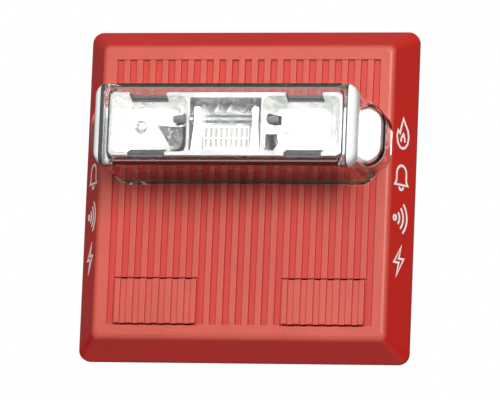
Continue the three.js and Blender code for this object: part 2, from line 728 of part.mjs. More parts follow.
function hornHousing() {
  const d = partSeat;
  const ledge = hornBore - piezoLedge;
  const profile = [[2, d], [hornRadius, d], [hornRadius, d + hornHeight], [hornBore, d + hornHeight]];
  profile.push([hornBore, d + 1.9], [ledge, d + 1.9], [ledge, d + 1], [2, d + 1]);
  let housing = turned(profile, hornX, hornZ, 32);
  for (const side of [-1, 1]) {
    const [x0, x1] = [side * (hornRadius - 1), side * (hornRadius + 2 * hornLug)].sort((a, b) => a - b);
    housing = housing.add(block(x0, x1, d, d + 1.4, hornZ - 3.2, hornZ + 3.2));
    const x = side * (hornRadius + hornLug);
    housing = housing.subtract(disc(hornScrewShaft + gap, d - 1, d + 3, x, hornZ, 12));
  }
  return housing;
}

function piezoCeramic() {
  const radius = hornBore - piezoLedge - 2.5;
  return disc(radius, partSeat + 1.4, partSeat + 1.9, hornX, hornZ, 28);
}

function piezoDisc() {
  return disc(hornBore - 1, partSeat + 2.2, partSeat + 2.6, hornX, hornZ, 32);
}

function hornRing() {
  const d = partSeat + 2.9;
  const [inner, outer] = [hornBore - piezoLedge, hornBore - gap];
  return turned([[inner, d], [outer, d], [outer, d + 0.8], [inner, d + 0.8]], hornX, hornZ, 32);
}

function hornCap() {
  const d = partSeat + 4;
  let cap = disc(hornBore - gap, d, partSeat + hornHeight, hornX, hornZ, 32);
  const ring = hornBore * 0.6;
  for (let k = 0; k < hornPorts; k++) {
    const angle = (2 * Math.PI * k) / hornPorts;
    const [x, z] = [hornX + ring * Math.cos(angle), hornZ + ring * Math.sin(angle)];
    cap = cap.subtract(disc(portRadius, d - 1, d + 2, x, z, 10));
  }
  return cap.subtract(disc(3, d - 1, d + 2, hornX, hornZ, 12));
}

// ---- settings switches ----
const switchDepth = 3.4;
const switchX = 40;               // tone switch at -x, volume switch at +x
const switchZ = -26;
const switchFloor = 1.2;
const slotHalfX = 3.6;            // slot that the slider runs in
const slotHalfZ = 1.2;
const sliderWidth = 3;

function slideSwitchBody(x, z) {
  const top = partSeat + switchDepth;
  const body = block(x - 5, x + 5, partSeat, top, z - 2.6, z + 2.6);
  const floor = partSeat + switchFloor;
  return body.subtract(block(x - slotHalfX, x + slotHalfX, floor, top + 1, z - slotHalfZ, z + slotHalfZ));
}

function slideSwitchKnob(x, z) {
  const start = x - slotHalfX + 0.4;
  const half = slotHalfZ - gap;
  const top = partSeat + switchDepth + 1.2;
  return block(start, start + sliderWidth, partSeat + switchFloor + gap, top, z - half, z + half);
}

const selectorX = 40;
const selectorZ = -14;
const selectorHalf = 5.4;
const knobRadius = 4;

function selectorBody() {
  const [x, z, half] = [selectorX, selectorZ, selectorHalf];
  const top = partSeat + 3.4;
  const body = block(x - half, x + half, partSeat, top, z - half, z + half);
  return body.subtract(disc(knobRadius + gap, partSeat + 1.4, top + 1, x, z, 24));
}

function selectorKnob() {
  const top = partSeat + 4.8;
  const knob = disc(knobRadius, partSeat + 1.4 + gap, top, selectorX, selectorZ, 24);
  const arrow = [[-0.7, -3], [0.7, -3], [0.7, 0.8], [1.7, 0.8], [0, 3.2], [-1.7, 0.8], [-0.7, 0.8]];
  const placed = arrow.map(([x, z]) => [selectorX + x, selectorZ + z]);
  return knob.subtract(slab(placed, top - 1, top + 1));
}

// ---- field terminals, behind the board ----
const terminalHalfX = (terminalPitch * terminalWays) / 2 + 0.6;
const terminalFront = boardRear - gap;
const chamberFront = terminalFront - 1.6;
const chamberRear = terminalRear + 4.4;
const clampThickness = 1.2;

function wayX(k) {
  return (k - (terminalWays - 1) / 2) * terminalPitch;
}

function terminalBlock() {
  const [z0, z1] = [terminalZ - terminalHeight / 2, terminalZ + terminalHeight / 2];
  const rear = terminalRear - 1;
  let body = block(-terminalHalfX, terminalHalfX, terminalRear, terminalFront, z0, z1);
  for (let k = 0; k < terminalWays; k++) {
    const x = wayX(k);
    body = body.subtract(block(x - chamberHalf, x + chamberHalf, chamberRear, chamberFront, z0 - 1, z1 - 2));
    body = body.subtract(disc(terminalScrewRadius + gap, rear, chamberRear + 1, x, terminalZ, 16));
    body = body.subtract(disc(terminalHeadRadius + 0.4, rear, terminalRear + 2.6, x, terminalZ, 20));
  }
  return body;
}

function terminalScrew(k) {
  const x = wayX(k);
  const head = disc(terminalHeadRadius, terminalRear + 0.4, terminalRear + 2.3, x, terminalZ, 20);
  const shaft = disc(terminalScrewRadius, terminalRear + 2.2, chamberFront - gap, x, terminalZ, 12);
  const kerf = block(x - 3, x + 3, terminalRear - 1, terminalRear + 1.3, terminalZ - 0.4, terminalZ + 0.4);
  return head.add(shaft).subtract(kerf);
}

// clamp that climbs the captive screw towards its head; it rests at the open end of its travel
function clampPlate(k) {
  const x = wayX(k);
  const d0 = chamberFront - gap - clampThickness;
  const [z0, z1] = [terminalZ - terminalHeight / 2 + 1, terminalZ + terminalHeight / 2 - 2.4];
  const plate = block(x - clampHalf, x + clampHalf, d0, d0 + clampThickness, z0, z1);
  return plate.subtract(disc(terminalScrewRadius + gap, d0 - 1, d0 + 3, x, terminalZ, 16));
}

// ---- the assembly ----
const finishes = {
  red: { color: 0xdd5a4e, roughness: 0.5, metalness: 0 },
  plateRed: { color: 0xb8483e, roughness: 0.6, metalness: 0 },
  clear: { color: 0xe8eef0, roughness: 0.05, metalness: 0, transparent: true, opacity: 0.35 },
  white: { color: 0xf4f4f0, roughness: 0.3, metalness: 0 },
  chrome: { color: 0xe4e6e8, roughness: 0.12, metalness: 1 },
  steel: { color: 0xa8aaac, roughness: 0.35, metalness: 1 },
  brass: { color: 0xc9a24e, roughness: 0.35, metalness: 1 },
  board: { color: 0x1f5a38, roughness: 0.45, metalness: 0 },
  black: { color: 0x1c1c1e, roughness: 0.5, metalness: 0 },
  can: { color: 0x22262e, roughness: 0.4, metalness: 0 },
  copper: { color: 0xa85a32, roughness: 0.4, metalness: 1 },
  ferrite: { color: 0x3a3a3c, roughness: 0.7, metalness: 0 },
  ceramic: { color: 0xe6dfd0, roughness: 0.5, metalness: 0 },
  green: { color: 0x3f7f4a, roughness: 0.5, metalness: 0 },
  yellow: { color: 0xd9b23a, roughness: 0.5, metalness: 0 },
};
const materials = {};
for (const [name, values] of Object.entries(finishes)) {
  materials[name] = new THREE.MeshStandardMaterial(values);
}

const strobe = new THREE.Group();

function addPart(name, solid, finish) {
  const { numProp, vertProperties, triVerts } = solid.getMesh();
  const positions = [];
  for (let i = 0; i < vertProperties.length; i += numProp) {
    positions.push(vertProperties[i], vertProperties[i + 1], vertProperties[i + 2]);
  }
  const geometry = new THREE.BufferGeometry();
  geometry.setAttribute('position', new THREE.Float32BufferAttribute(positions, 3));
  geometry.setIndex(Array.from(triVerts));
  geometry.computeVertexNormals();
  const mesh = new THREE.Mesh(geometry, materials[finish].clone());
  mesh.name = name;
  strobe.add(mesh);
}

addPart('front_cover', frontCover(), 'red');
addPart('lens', lens(), 'clear');
addPart('mounting_plate', mountingPlate(), 'plateRed');
addPart('circuit_board', circuitBoard(), 'board');
addPart('reflector', reflector(), 'chrome');
addPart('reflector_frame', reflectorFrame(), 'black');
for (const [word, side] of [['left', -1], ['right', 1]]) {
  addPart(`end_band_${word}`, endBand(side), 'white');
  addPart(`ear_insert_${word}`, earInsert(side), 'white');
  addPart(`tube_electrode_${word}`, electrode(side), 'steel');
  addPart(`tube_holder_${word}`, tubeHolder(side), 'white');
  const lugX = hornX + side * (hornRadius + hornLug);
  const lugScrew = screw(lugX, hornZ, partSeat + 1.7, 2.6, hornScrewShaft, 2.2, 1.2);
  addPart(`horn_screw_${word}`, lugScrew, 'steel');
}
addPart('flash_tube', rod(tubeRadius, -tubeHalf, tubeHalf, tubeDepth, tubeZ, 20), 'clear');
addPart('tube_panel', tubePanel(), 'white');
addPart('trigger_wire', triggerWire(), 'copper');
const reflectorSeat = bowlFloor + gap;
addPart('reflector_screw', screw(fixingScrewX, lensZ, reflectorSeat, 7, screwShaft, 2.5, 1.5), 'steel');
addPart('locating_pin', locatingPin(), 'white');
boardScrews.forEach(([x, z], k) => {
  const solid = screw(x, z, boardFront + gap, 5, screwShaft, screwHead, screwHeadHeight);
  addPart(`board_screw_${k + 1}`, solid, 'steel');
});
addPart('flash_capacitor', flashCapacitor(), 'can');
addPart('trigger_coil', triggerCoil(), 'black');
addPart('transformer_core', transformerCore(), 'ferrite');
addPart('transformer_winding', transformerWinding(), 'yellow');
addPart('control_chip', controlChip(), 'black');
addPart('switch_transistor', switchTransistor(), 'black');
blockingDiodes().forEach((solid, k) => addPart(`blocking_diode_${k + 1}`, solid, 'black'));
addPart('horn_housing', hornHousing(), 'black');
addPart('piezo_ceramic', piezoCeramic(), 'ceramic');
addPart('piezo_disc', piezoDisc(), 'brass');
addPart('horn_ring', hornRing(), 'black');
addPart('horn_cap', hornCap(), 'black');
addPart('candela_selector', selectorBody(), 'black');
addPart('candela_knob', selectorKnob(), 'white');
for (const [name, x] of [['tone', -switchX], ['volume', switchX]]) {
  addPart(`${name}_switch`, slideSwitchBody(x, switchZ), 'black');
  addPart(`${name}_slider`, slideSwitchKnob(x, switchZ), 'white');
}
addPart('terminal_block', terminalBlock(), 'green');
for (let k = 0; k < terminalWays; k++) {
  addPart(`terminal_screw_${k + 1}`, terminalScrew(k), 'steel');
  addPart(`clamp_plate_${k + 1}`, clampPlate(k), 'brass');
}

export default strobe;
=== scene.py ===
import json
import math
import random

import bmesh
import bpy
from mathutils import Matrix, Vector

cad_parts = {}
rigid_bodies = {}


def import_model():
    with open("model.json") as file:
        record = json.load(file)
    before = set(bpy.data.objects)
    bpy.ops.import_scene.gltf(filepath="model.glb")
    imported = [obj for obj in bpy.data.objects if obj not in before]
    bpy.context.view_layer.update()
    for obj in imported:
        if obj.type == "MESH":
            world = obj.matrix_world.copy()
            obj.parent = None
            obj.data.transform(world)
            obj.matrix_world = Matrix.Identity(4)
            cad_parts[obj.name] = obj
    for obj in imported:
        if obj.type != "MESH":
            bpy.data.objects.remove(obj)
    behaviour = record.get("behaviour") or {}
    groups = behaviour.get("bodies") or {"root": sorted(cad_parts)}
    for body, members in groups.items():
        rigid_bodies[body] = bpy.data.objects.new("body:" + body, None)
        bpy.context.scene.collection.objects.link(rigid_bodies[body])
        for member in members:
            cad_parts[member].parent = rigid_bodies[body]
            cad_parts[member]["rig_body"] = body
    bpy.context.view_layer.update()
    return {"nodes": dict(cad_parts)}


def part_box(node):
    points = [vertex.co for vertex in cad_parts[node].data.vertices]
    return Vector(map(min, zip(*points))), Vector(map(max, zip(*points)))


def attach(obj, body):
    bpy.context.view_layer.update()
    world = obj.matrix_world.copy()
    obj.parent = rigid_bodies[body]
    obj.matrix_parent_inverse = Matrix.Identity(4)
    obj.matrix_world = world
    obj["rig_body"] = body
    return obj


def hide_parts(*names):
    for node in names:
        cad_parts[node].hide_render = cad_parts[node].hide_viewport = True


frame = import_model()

mm = 0.001
gap = 0.3        # clearance between neighbouring pieces, mm
over = 1.0       # how far a cutter passes the piece that it cuts, mm
tiny = 1e-6      # a length this short counts as none
print("frame loaded:", len(frame["nodes"]), "nodes")

# mesh helpers: all lengths in mm, and d is the distance in front of the wall (y = -d)


def newPiece(name, verts, faces):
    mesh = bpy.data.meshes.new(name)
    mesh.from_pydata([(x * mm, -d * mm, z * mm) for x, d, z in verts], [], faces)
    piece = bpy.data.objects.new(name, mesh)
    bpy.context.scene.collection.objects.link(piece)
    faceOutwards(piece)
    return piece


def faceOutwards(piece):
    form = bmesh.new()
    form.from_mesh(piece.data)
    bmesh.ops.remove_doubles(form, verts=form.verts, dist=0.001 * mm)
    bmesh.ops.recalc_face_normals(form, faces=form.faces)
    form.to_mesh(piece.data)
    form.free()


def outline(halfX, halfZ, radius, steps=8):
    r = max(min(radius, halfX, halfZ), 0.01)
    points = []
    for quarter, (sx, sz) in enumerate([(1, 1), (-1, 1), (-1, -1), (1, -1)]):
        for i in range(steps + 1):
            angle = (quarter + i / steps) * math.pi / 2
            points.append((sx * (halfX - r) + r * math.cos(angle), sz * (halfZ - r) + r * math.sin(angle)))
    return points


# rings are (d, halfX, halfZ, radius)
def loft(rings, x=0.0, z=0.0, steps=8):
    verts = []
    for d, halfX, halfZ, radius in rings:
        verts += [(x + px, d, z + pz) for px, pz in outline(halfX, halfZ, radius, steps)]
    count = 4 * (steps + 1)
    faces = []
    for k in range(len(rings) - 1):
        for i in range(count):
            j = (i + 1) % count
            faces.append((k * count + i, k * count + j, (k + 1) * count + j, (k + 1) * count + i))
    faces += [tuple(range(count)), tuple(range((len(rings) - 1) * count, len(rings) * count))]
    return newPiece("loft", verts, faces)


# rounds the inner corners of a profile with short curves
def softened(points, radii, steps=8):
    result = [points[0]]
    for k in range(1, len(points) - 1):
        corner = Vector(points[k])
        back = Vector(points[k - 1]) - corner
        ahead = Vector(points[k + 1]) - corner
        turn = math.pi - back.angle(ahead)
        reach = min(radii[k - 1] * math.tan(turn / 2), back.length / 2, ahead.length / 2)
        start = corner + back.normalized() * reach
        end = corner + ahead.normalized() * reach
        for i in range(steps + 1):
            t = i / steps
            p = start * (1 - t) ** 2 + corner * 2 * t * (1 - t) + end * t ** 2
            result.append((p.x, p.y))
    result.append(points[-1])
    return result


# a rounded block whose front edge is softened
def softBlock(halfX, halfZ, radius, d0, d1, edge, x=0.0, z=0.0, steps=8):
    profile = softened([(0, d0), (0, d1), (2 * edge, d1)], [edge], 6)[:-1]
    rings = [(d, halfX - inset, halfZ - inset, max(radius - inset, 0.4)) for inset, d in profile]
    return loft(rings, x, z, steps)


def boxVerts(x0, x1, d0, d1, z0, z1):
    return [(x, d, z) for d in (d0, d1) for x, z in ((x0, z0), (x1, z0), (x1, z1), (x0, z1))]


boxFaces = [(0, 1, 2, 3), (4, 5, 6, 7), (0, 1, 5, 4), (1, 2, 6, 5), (2, 3, 7, 6), (3, 0, 4, 7)]


def blocks(sizes):
    verts, faces = [], []
    for size in sizes:
        base = len(verts)
        verts += boxVerts(*size)
        faces += [tuple(base + i for i in face) for face in boxFaces]
    return newPiece("blocks", verts, faces)


# a turned piece: profile is [(radius, distance along)], along "d", "x" or "z"
def turned(profile, centre, along="d", sides=48):
    verts, faces = [], []
    for radius, reach in profile:
        for i in range(sides):
            angle = 2 * math.pi * i / sides
            a, b = radius * math.cos(angle), radius * math.sin(angle)
            if along == "d":
                verts.append((centre[0] + a, reach, centre[1] + b))
            elif along == "x":
                verts.append((reach, centre[0] + a, centre[1] + b))
            else:
                verts.append((centre[0] + a, centre[1] + b, reach))
    for k in range(len(profile) - 1):
        for i in range(sides):
            j = (i + 1) % sides
            faces.append((k * sides + i, k * sides + j, (k + 1) * sides + j, (k + 1) * sides + i))
    faces += [tuple(range(sides)), tuple(range((len(profile) - 1) * sides, len(profile) * sides))]
    return newPiece("turned", verts, faces)


def rod(radius, start, end, centre, along="d", sides=48):
    return turned([(radius, start), (radius, end)], centre, along, sides)


# a flat outline pushed along the depth
def slab(points, d0, d1):
    count = len(points)
    verts = [(x, d, z) for d in (d0, d1) for x, z in points]
    faces = [tuple(range(count)), tuple(range(count, 2 * count))]
    faces += [(i, (i + 1) % count, count + (i + 1) % count, count + i) for i in range(count)]
    return newPiece("slab", verts, faces)


def combine(piece, others, operation):
    for other in others:
        step = piece.modifiers.new("cut", "BOOLEAN")
        step.operation = operation
        step.solver = "EXACT"
        step.object = other
    bakeModifiers(piece)
    for other in others:
        bpy.data.objects.remove(other)
    return piece


def cut(piece, *others):
    return combine(piece, others, "DIFFERENCE")


def add(piece, *others):
    return combine(piece, others, "UNION")


def keep(piece, *others):
    return combine(piece, others, "INTERSECT")


def bakeModifiers(piece):
    graph = bpy.context.evaluated_depsgraph_get()
    graph.update()
    made = bpy.data.meshes.new_from_object(piece.evaluated_get(graph))
    piece.modifiers.clear()
    old = piece.data
    piece.data = made
    bpy.data.meshes.remove(old)


def shadeSmooth(piece, sharp):
    piece.data.shade_smooth()
    piece.data.set_sharp_from_angle(angle=math.radians(sharp))


# merges flat neighbours, rounds the edges that are left and shades smooth
def soften(piece, width=0.0, segments=2, sharp=32, limit=38):
    form = bmesh.new()
    form.from_mesh(piece.data)
    bmesh.ops.remove_doubles(form, verts=form.verts, dist=0.0008 * mm)
    bmesh.ops.dissolve_limit(form, angle_limit=math.radians(0.4), verts=form.verts, edges=form.edges)
    form.to_mesh(piece.data)
    form.free()
    if width:
        edge = piece.modifiers.new("edges", "BEVEL")
        edge.width = width * mm
        edge.segments = segments
        edge.limit_method = "ANGLE"
        edge.angle_limit = math.radians(limit)
        edge.use_clamp_overlap = True
        bakeModifiers(piece)
    shadeSmooth(piece, sharp)
    even = piece.modifiers.new("normals", "WEIGHTED_NORMAL")
    even.keep_sharp = True
    return piece


def place(piece, name, body, material, slot, nodes=()):
    piece.name = name
    piece.data.name = name
    piece.data.materials.clear()
    piece.data.materials.append(material)
    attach(piece, body)
    if nodes:
        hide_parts(*nodes)
    return piece


# node helpers


def newTree(name):
    material = bpy.data.materials.new(name)
    material.use_nodes = True
    tree = material.node_tree
    return material, tree, tree.nodes["Principled BSDF"]


def feed(tree, socket, value):
    if isinstance(value, bpy.types.NodeSocket):
        tree.links.new(value, socket)
    else:
        socket.default_value = value


def addNode(tree, kind, settings=None, **sockets):
    node = tree.nodes.new("ShaderNode" + kind)
    for key, value in (settings or {}).items():
        setattr(node, key, value)
    for key, value in sockets.items():
        feed(tree, node.inputs[key], value)
    return node


def blend(tree, factor, first, second):
    made = addNode(tree, "Mix", {"data_type": "RGBA"}, Factor=factor)
    feed(tree, made.inputs[6], first)
    feed(tree, made.inputs[7], second)
    return made.outputs[2]


# shows one shader, or another for the rays that factor picks out
def switchShaders(tree, factor, first, second, end):
    made = addNode(tree, "MixShader", {}, Fac=factor)
    tree.links.new(first, made.inputs[1])
    tree.links.new(second, made.inputs[2])
    tree.links.new(made.outputs["Shader"], tree.nodes[end].inputs["Surface"])


def objectPlace(tree):
    return addNode(tree, "TexCoord").outputs["Object"]


def noise(tree, place, scale, detail=4.0, rough=0.55, stretch=None):
    if stretch:
        place = addNode(tree, "Mapping", {}, Vector=place, Scale=stretch).outputs["Vector"]
    made = addNode(tree, "TexNoise", {}, Vector=place, Scale=scale, Detail=detail, Roughness=rough)
    return made.outputs["Fac"]


def span(tree, value, low, high, fromLow=0.3, fromHigh=0.7):
    made = addNode(tree, "MapRange", {"clamp": True}, Value=value)
    for key, number in (("From Min", fromLow), ("From Max", fromHigh), ("To Min", low), ("To Max", high)):
        made.inputs[key].default_value = number
    return made.outputs["Result"]


def ramp(tree, value, stops):
    made = addNode(tree, "ValToRGB", {}, Fac=value)
    while len(made.color_ramp.elements) < len(stops):
        made.color_ramp.elements.new(0.5)
    for element, (at, colour) in zip(made.color_ramp.elements, stops):
        element.position = at
        element.color = (*colour, 1.0)
    return made.outputs["Color"]


def bump(tree, height, strength, reach, under=None):
    made = addNode(tree, "Bump", {}, Height=height, Strength=strength, Distance=reach * mm)
    if under:
        tree.links.new(under, made.inputs["Normal"])
    return made.outputs["Normal"]


def tinted(colour, factor):
    return tuple(min(1.0, c * factor) for c in colour)


# a moulded or machined surface: clouded colour, uneven roughness, two grains of bump, and optionally a
# painted sheen that makes the front faces paler
def surface(name, colour, roughness, metallic=0.0, cloud=25.0, spread=0.1, grain=2500.0, grainDepth=0.01,
            wave=90.0, waveDepth=0.0, roughSpread=0.08, coat=0.0, stretch=None, specular=0.5,
            subsurface=0.0, speckle=None, paintedSheen=None):
    material, tree, shader = newTree(name)
    at = objectPlace(tree)
    low, high = tinted(colour, 1 - spread), tinted(colour, 1 + spread)
    shade = ramp(tree, noise(tree, at, cloud, 5.0, 0.6), [(0.3, low), (0.5, colour), (0.7, high)])
    if speckle:
        dots = noise(tree, at, speckle["scale"], 2.0, 0.5)
        mask = ramp(tree, dots, [(speckle["from"], (0, 0, 0)), (speckle["from"] + 0.06, (1, 1, 1))])
        shade = blend(tree, mask, shade, (*speckle["colour"], 1.0))
    # painted sheen: faces near the front are painted a paler, pinker colour that stands in for the sheen of
    # the front light
    if paintedSheen:
        depth = addNode(tree, "SeparateXYZ", {}, Vector=at).outputs["Y"]
        front = span(tree, depth, 1.0, 0.0, paintedSheen["full"] * -mm, paintedSheen["start"] * -mm)
        patchy = noise(tree, at, paintedSheen["scale"], 5.0, 0.6)
        sheenShades = [(spot, tinted(paintedSheen["colour"], factor)) for spot, factor in ((0.3, 0.92), (0.7, 1.07))]
        shade = blend(tree, front, shade, ramp(tree, patchy, sheenShades))
    tree.links.new(shade, shader.inputs["Base Color"])
    uneven = noise(tree, at, cloud * 4, 6.0, 0.65)
    tree.links.new(span(tree, uneven, max(roughness - roughSpread, 0.02), roughness + roughSpread),
                   shader.inputs["Roughness"])
    normal = bump(tree, noise(tree, at, grain, 3.0, 0.6, stretch), 1.0, grainDepth)
    if waveDepth:
        normal = bump(tree, noise(tree, at, wave, 2.0, 0.5), 1.0, waveDepth, normal)
    tree.links.new(normal, shader.inputs["Normal"])
    shader.inputs["Metallic"].default_value = metallic
    shader.inputs["IOR"].default_value = 1.5
    shader.inputs["Specular IOR Level"].default_value = specular
    if coat:
        shader.inputs["Coat Weight"].default_value = coat
        shader.inputs["Coat Roughness"].default_value = 0.12
    if subsurface:
        shader.inputs["Subsurface Weight"].default_value = subsurface
        shader.inputs["Subsurface Scale"].default_value = 1.2 * mm
    return material


# clear plastic or glass; shadow rays pass, so the lights reach what is behind it
def clearSurface(name, look):
    material, tree, shader = newTree(name)
    at = objectPlace(tree)
    shader.inputs["Transmission Weight"].default_value = 1.0
    shader.inputs["IOR"].default_value = look["ior"]
    tint = ramp(tree, noise(tree, at, 40.0), [(0.3, look["colour"]), (0.7, look["colourThick"])])
    tree.links.new(tint, shader.inputs["Base Color"])
    smudge = noise(tree, at, look["smudgeScale"], 5.0, 0.65)
    rough = span(tree, smudge, look["roughLow"], look["roughHigh"], 0.45, 0.75)
    tree.links.new(rough, shader.inputs["Roughness"])
    flow = noise(tree, at, look["flowScale"], 1.0, 0.4)
    tree.links.new(bump(tree, flow, 1.0, look["flowDepth"]), shader.inputs["Normal"])
    passing = addNode(tree, "BsdfTransparent", {}, Color=(*look["shadow"], 1.0))
    ray = addNode(tree, "LightPath")
    switchShaders(tree, ray.outputs["Is Shadow Ray"], shader.outputs["BSDF"], passing.outputs["BSDF"],
                  "Material Output")
    return material


# thin chromed plastic: bright, with the slight ripple of a moulded reflector
def mirrorSurface(name, look):
    material, tree, shader = newTree(name)
    at = objectPlace(tree)
    tint = ramp(tree, noise(tree, at, look["mottleScale"], 4.0, 0.6),
                [(0.35, look["dark"]), (0.5, look["mid"]), (0.65, look["light"])])
    tree.links.new(tint, shader.inputs["Base Color"])
    shader.inputs["Metallic"].default_value = look["metallic"]
    haze = noise(tree, at, look["hazeScale"], 5.0, 0.6)
    tree.links.new(span(tree, haze, look["roughLow"], look["roughHigh"]), shader.inputs["Roughness"])
    ripple = bump(tree, noise(tree, at, look["rippleScale"], 2.0, 0.5), 1.0, look["rippleDepth"])
    fine = bump(tree, noise(tree, at, look["fineScale"], 2.0, 0.5), 1.0, look["fineDepth"], ripple)
    tree.links.new(fine, shader.inputs["Normal"])
    return material


# the cover's front faces get a painted sheen, paler and pinker than the bevels
coverRed = surface("cover_red", (0.56, 0.016, 0.010), 0.36, cloud=22.0, spread=0.05, grain=1800.0,
                   grainDepth=0.012, wave=60.0, waveDepth=0.02, roughSpread=0.05, specular=0.35,
                   paintedSheen={"start": 12.6, "full": 14.0, "scale": 35.0, "colour": (0.61, 0.098, 0.068)})
plateRed = surface("plate_red", (0.50, 0.022, 0.018), 0.5, cloud=30.0, spread=0.1, grain=1500.0,
                   grainDepth=0.02)
whitePlastic = surface("white_plastic", (0.84, 0.84, 0.82), 0.34, cloud=35.0, spread=0.03, grain=2200.0,
                       grainDepth=0.008, subsurface=0.15)
bandWhite = surface("band_white", (0.88, 0.89, 0.88), 0.3, cloud=40.0, spread=0.03, grain=2400.0,
                    grainDepth=0.007, subsurface=0.2)
markWhite = surface("mark_white", (0.92, 0.91, 0.89), 0.55, cloud=300.0, spread=0.05, grain=3500.0,
                    grainDepth=0.006)
steel = surface("steel", (0.60, 0.60, 0.61), 0.3, metallic=1.0, cloud=120.0, spread=0.12, grain=1600.0,
                grainDepth=0.01, roughSpread=0.12, stretch=(1.0, 1.0, 6.0))
brass = surface("brass", (0.80, 0.58, 0.24), 0.28, metallic=1.0, cloud=150.0, spread=0.12, grain=1500.0,
                grainDepth=0.008, roughSpread=0.1)
boardGreen = surface("board_green", (0.03, 0.16, 0.07), 0.35, cloud=60.0, spread=0.25, grain=900.0,
                     grainDepth=0.02, coat=0.3,
                     speckle={"scale": 420.0, "from": 0.66, "colour": (0.25, 0.35, 0.16)})
blackPlastic = surface("black_plastic", (0.022, 0.022, 0.024), 0.42, cloud=60.0, spread=0.3, grain=1700.0,
                       grainDepth=0.015, roughSpread=0.1)
# painted shade for the dark lead windows, on the electrode sleeves
sleeveShadeGrey = surface("sleeve_shade_grey", (0.075, 0.065, 0.085), 0.5, cloud=150.0, spread=0.3, grain=1500.0,
                     grainDepth=0.015)
# painted shade for the shaded inner sides of the lens end bands
bandShadeDark = surface("band_shade_dark", (0.05, 0.058, 0.065), 0.45, cloud=90.0, spread=0.3, grain=1700.0,
                   grainDepth=0.012)
sleeveBlue = surface("capacitor_sleeve", (0.02, 0.035, 0.10), 0.28, cloud=80.0, spread=0.25, grain=900.0,
                     grainDepth=0.01, coat=0.4)
silverWire = surface("wire_silver", (0.72, 0.72, 0.70), 0.32, metallic=1.0, cloud=200.0, spread=0.15,
                     grain=2000.0, grainDepth=0.006)
ferrite = surface("ferrite", (0.045, 0.043, 0.045), 0.5, cloud=120.0, spread=0.35, grain=900.0,
                  grainDepth=0.03)
windingTape = surface("winding_tape", (0.78, 0.58, 0.05), 0.4, cloud=80.0, spread=0.14, grain=600.0,
                      grainDepth=0.02, stretch=(1.0, 1.0, 12.0))
ceramic = surface("ceramic", (0.80, 0.78, 0.72), 0.45, cloud=90.0, spread=0.08, grain=1200.0,
                  grainDepth=0.012)
terminalGreen = surface("terminal_plastic", (0.03, 0.22, 0.10), 0.4, cloud=60.0, spread=0.15, grain=1500.0,
                        grainDepth=0.012)

lensLook = {
    "ior": 1.49, "colour": (0.985, 0.985, 0.985), "colourThick": (0.962, 0.965, 0.964),
    "shadow": (0.97, 0.975, 0.975), "smudgeScale": 130.0, "roughLow": 0.0, "roughHigh": 0.05,
    "flowScale": 55.0, "flowDepth": 0.012,
}
tubeLook = {
    "ior": 1.46, "colour": (0.99, 0.99, 1.0), "colourThick": (0.95, 0.96, 0.98),
    "shadow": (0.9, 0.92, 0.95), "smudgeScale": 400.0, "roughLow": 0.0, "roughHigh": 0.08,
    "flowScale": 300.0, "flowDepth": 0.01,
}
mirrorLook = {
    "dark": (0.56, 0.58, 0.54), "mid": (0.72, 0.74, 0.71), "light": (0.88, 0.88, 0.86), "mottleScale": 95.0,
    "hazeScale": 300.0, "roughLow": 0.14, "roughHigh": 0.34, "rippleScale": 150.0, "rippleDepth": 0.16,
    "fineScale": 700.0, "fineDepth": 0.02, "metallic": 0.5,
}
bareMirrorLook = {**mirrorLook, "dark": (0.56, 0.57, 0.58), "mid": (0.70, 0.71, 0.71), "metallic": 1.0}
lensClear = clearSurface("lens_clear", lensLook)
tubeGlass = clearSurface("tube_glass", tubeLook)
chrome = mirrorSurface("mirror_coat", mirrorLook)
sideChrome = mirrorSurface("mirror_side", bareMirrorLook)
# painted shade: the reflector's front rim is painted darker grey
rimShadeGrey = surface("mirror_edge_shade", (0.40, 0.41, 0.41), 0.45, metallic=0.6, cloud=120.0, spread=0.2,
                  grain=1700.0, grainDepth=0.01, roughSpread=0.1)
# painted shade: the pockets in the bowl corners are painted dark grey with paler speckles
pocketShadeGrey = surface("pocket_shade_grey", (0.085, 0.085, 0.08), 0.5, cloud=420.0, spread=0.75, grain=1500.0,
                     grainDepth=0.03, speckle={"scale": 700.0, "from": 0.56, "colour": (0.34, 0.34, 0.31)})
panelWhite = surface("panel_white", (0.52, 0.525, 0.50), 0.34, cloud=60.0, spread=0.06, grain=2200.0,
                     grainDepth=0.008)
# painted shade for the floors of the panel's flutes
fluteShadeGrey = surface("flute_shade_grey", (0.30, 0.305, 0.28), 0.4, cloud=200.0, spread=0.15, grain=2200.0,
                    grainDepth=0.01)
print("materials ready")

# front cover
cover = {
    "half": 66.7, "depth": 14.3, "wall": 2.4, "skirt": 2.2, "bevelRun": 8.2, "backCorner": 4.5,
    "faceCorner": 2.5, "edgeRound": 3.0, "fieldMargin": 5.2, "grooves": 21, "sideGrooves": 8,
    "grooveDepth": 1.2, "sideDrop": 0.4, "windowHeight": 18.5, "windowRise": 0.8, "moatWidth": 0.8,
    "moatDepth": 1.4, "ribRound": 0.28, "draft": 0.12,
    "stopDepth": 2.0, "stopHalf": 4.0, "stopAt": 0.6, "stopReach": 1.2, "stopRoot": 0.6, "plateInset": 1.0,
    "plateThickness": 2.2, "faceLean": 0.8, "floorRound": 0.12, "islandCorner": 0.5, "islandEdge": 0.3,
}
faceHalf = cover["half"] - cover["bevelRun"]
fieldHalf = faceHalf - cover["fieldMargin"]
innerBack = cover["half"] - cover["wall"]
innerFace = faceHalf - cover["faceLean"] * cover["wall"]
underFace = cover["depth"] - cover["wall"]
pitch = 2 * fieldHalf / (cover["grooves"] - 0.5)
plateHalf = innerBack - cover["plateInset"]

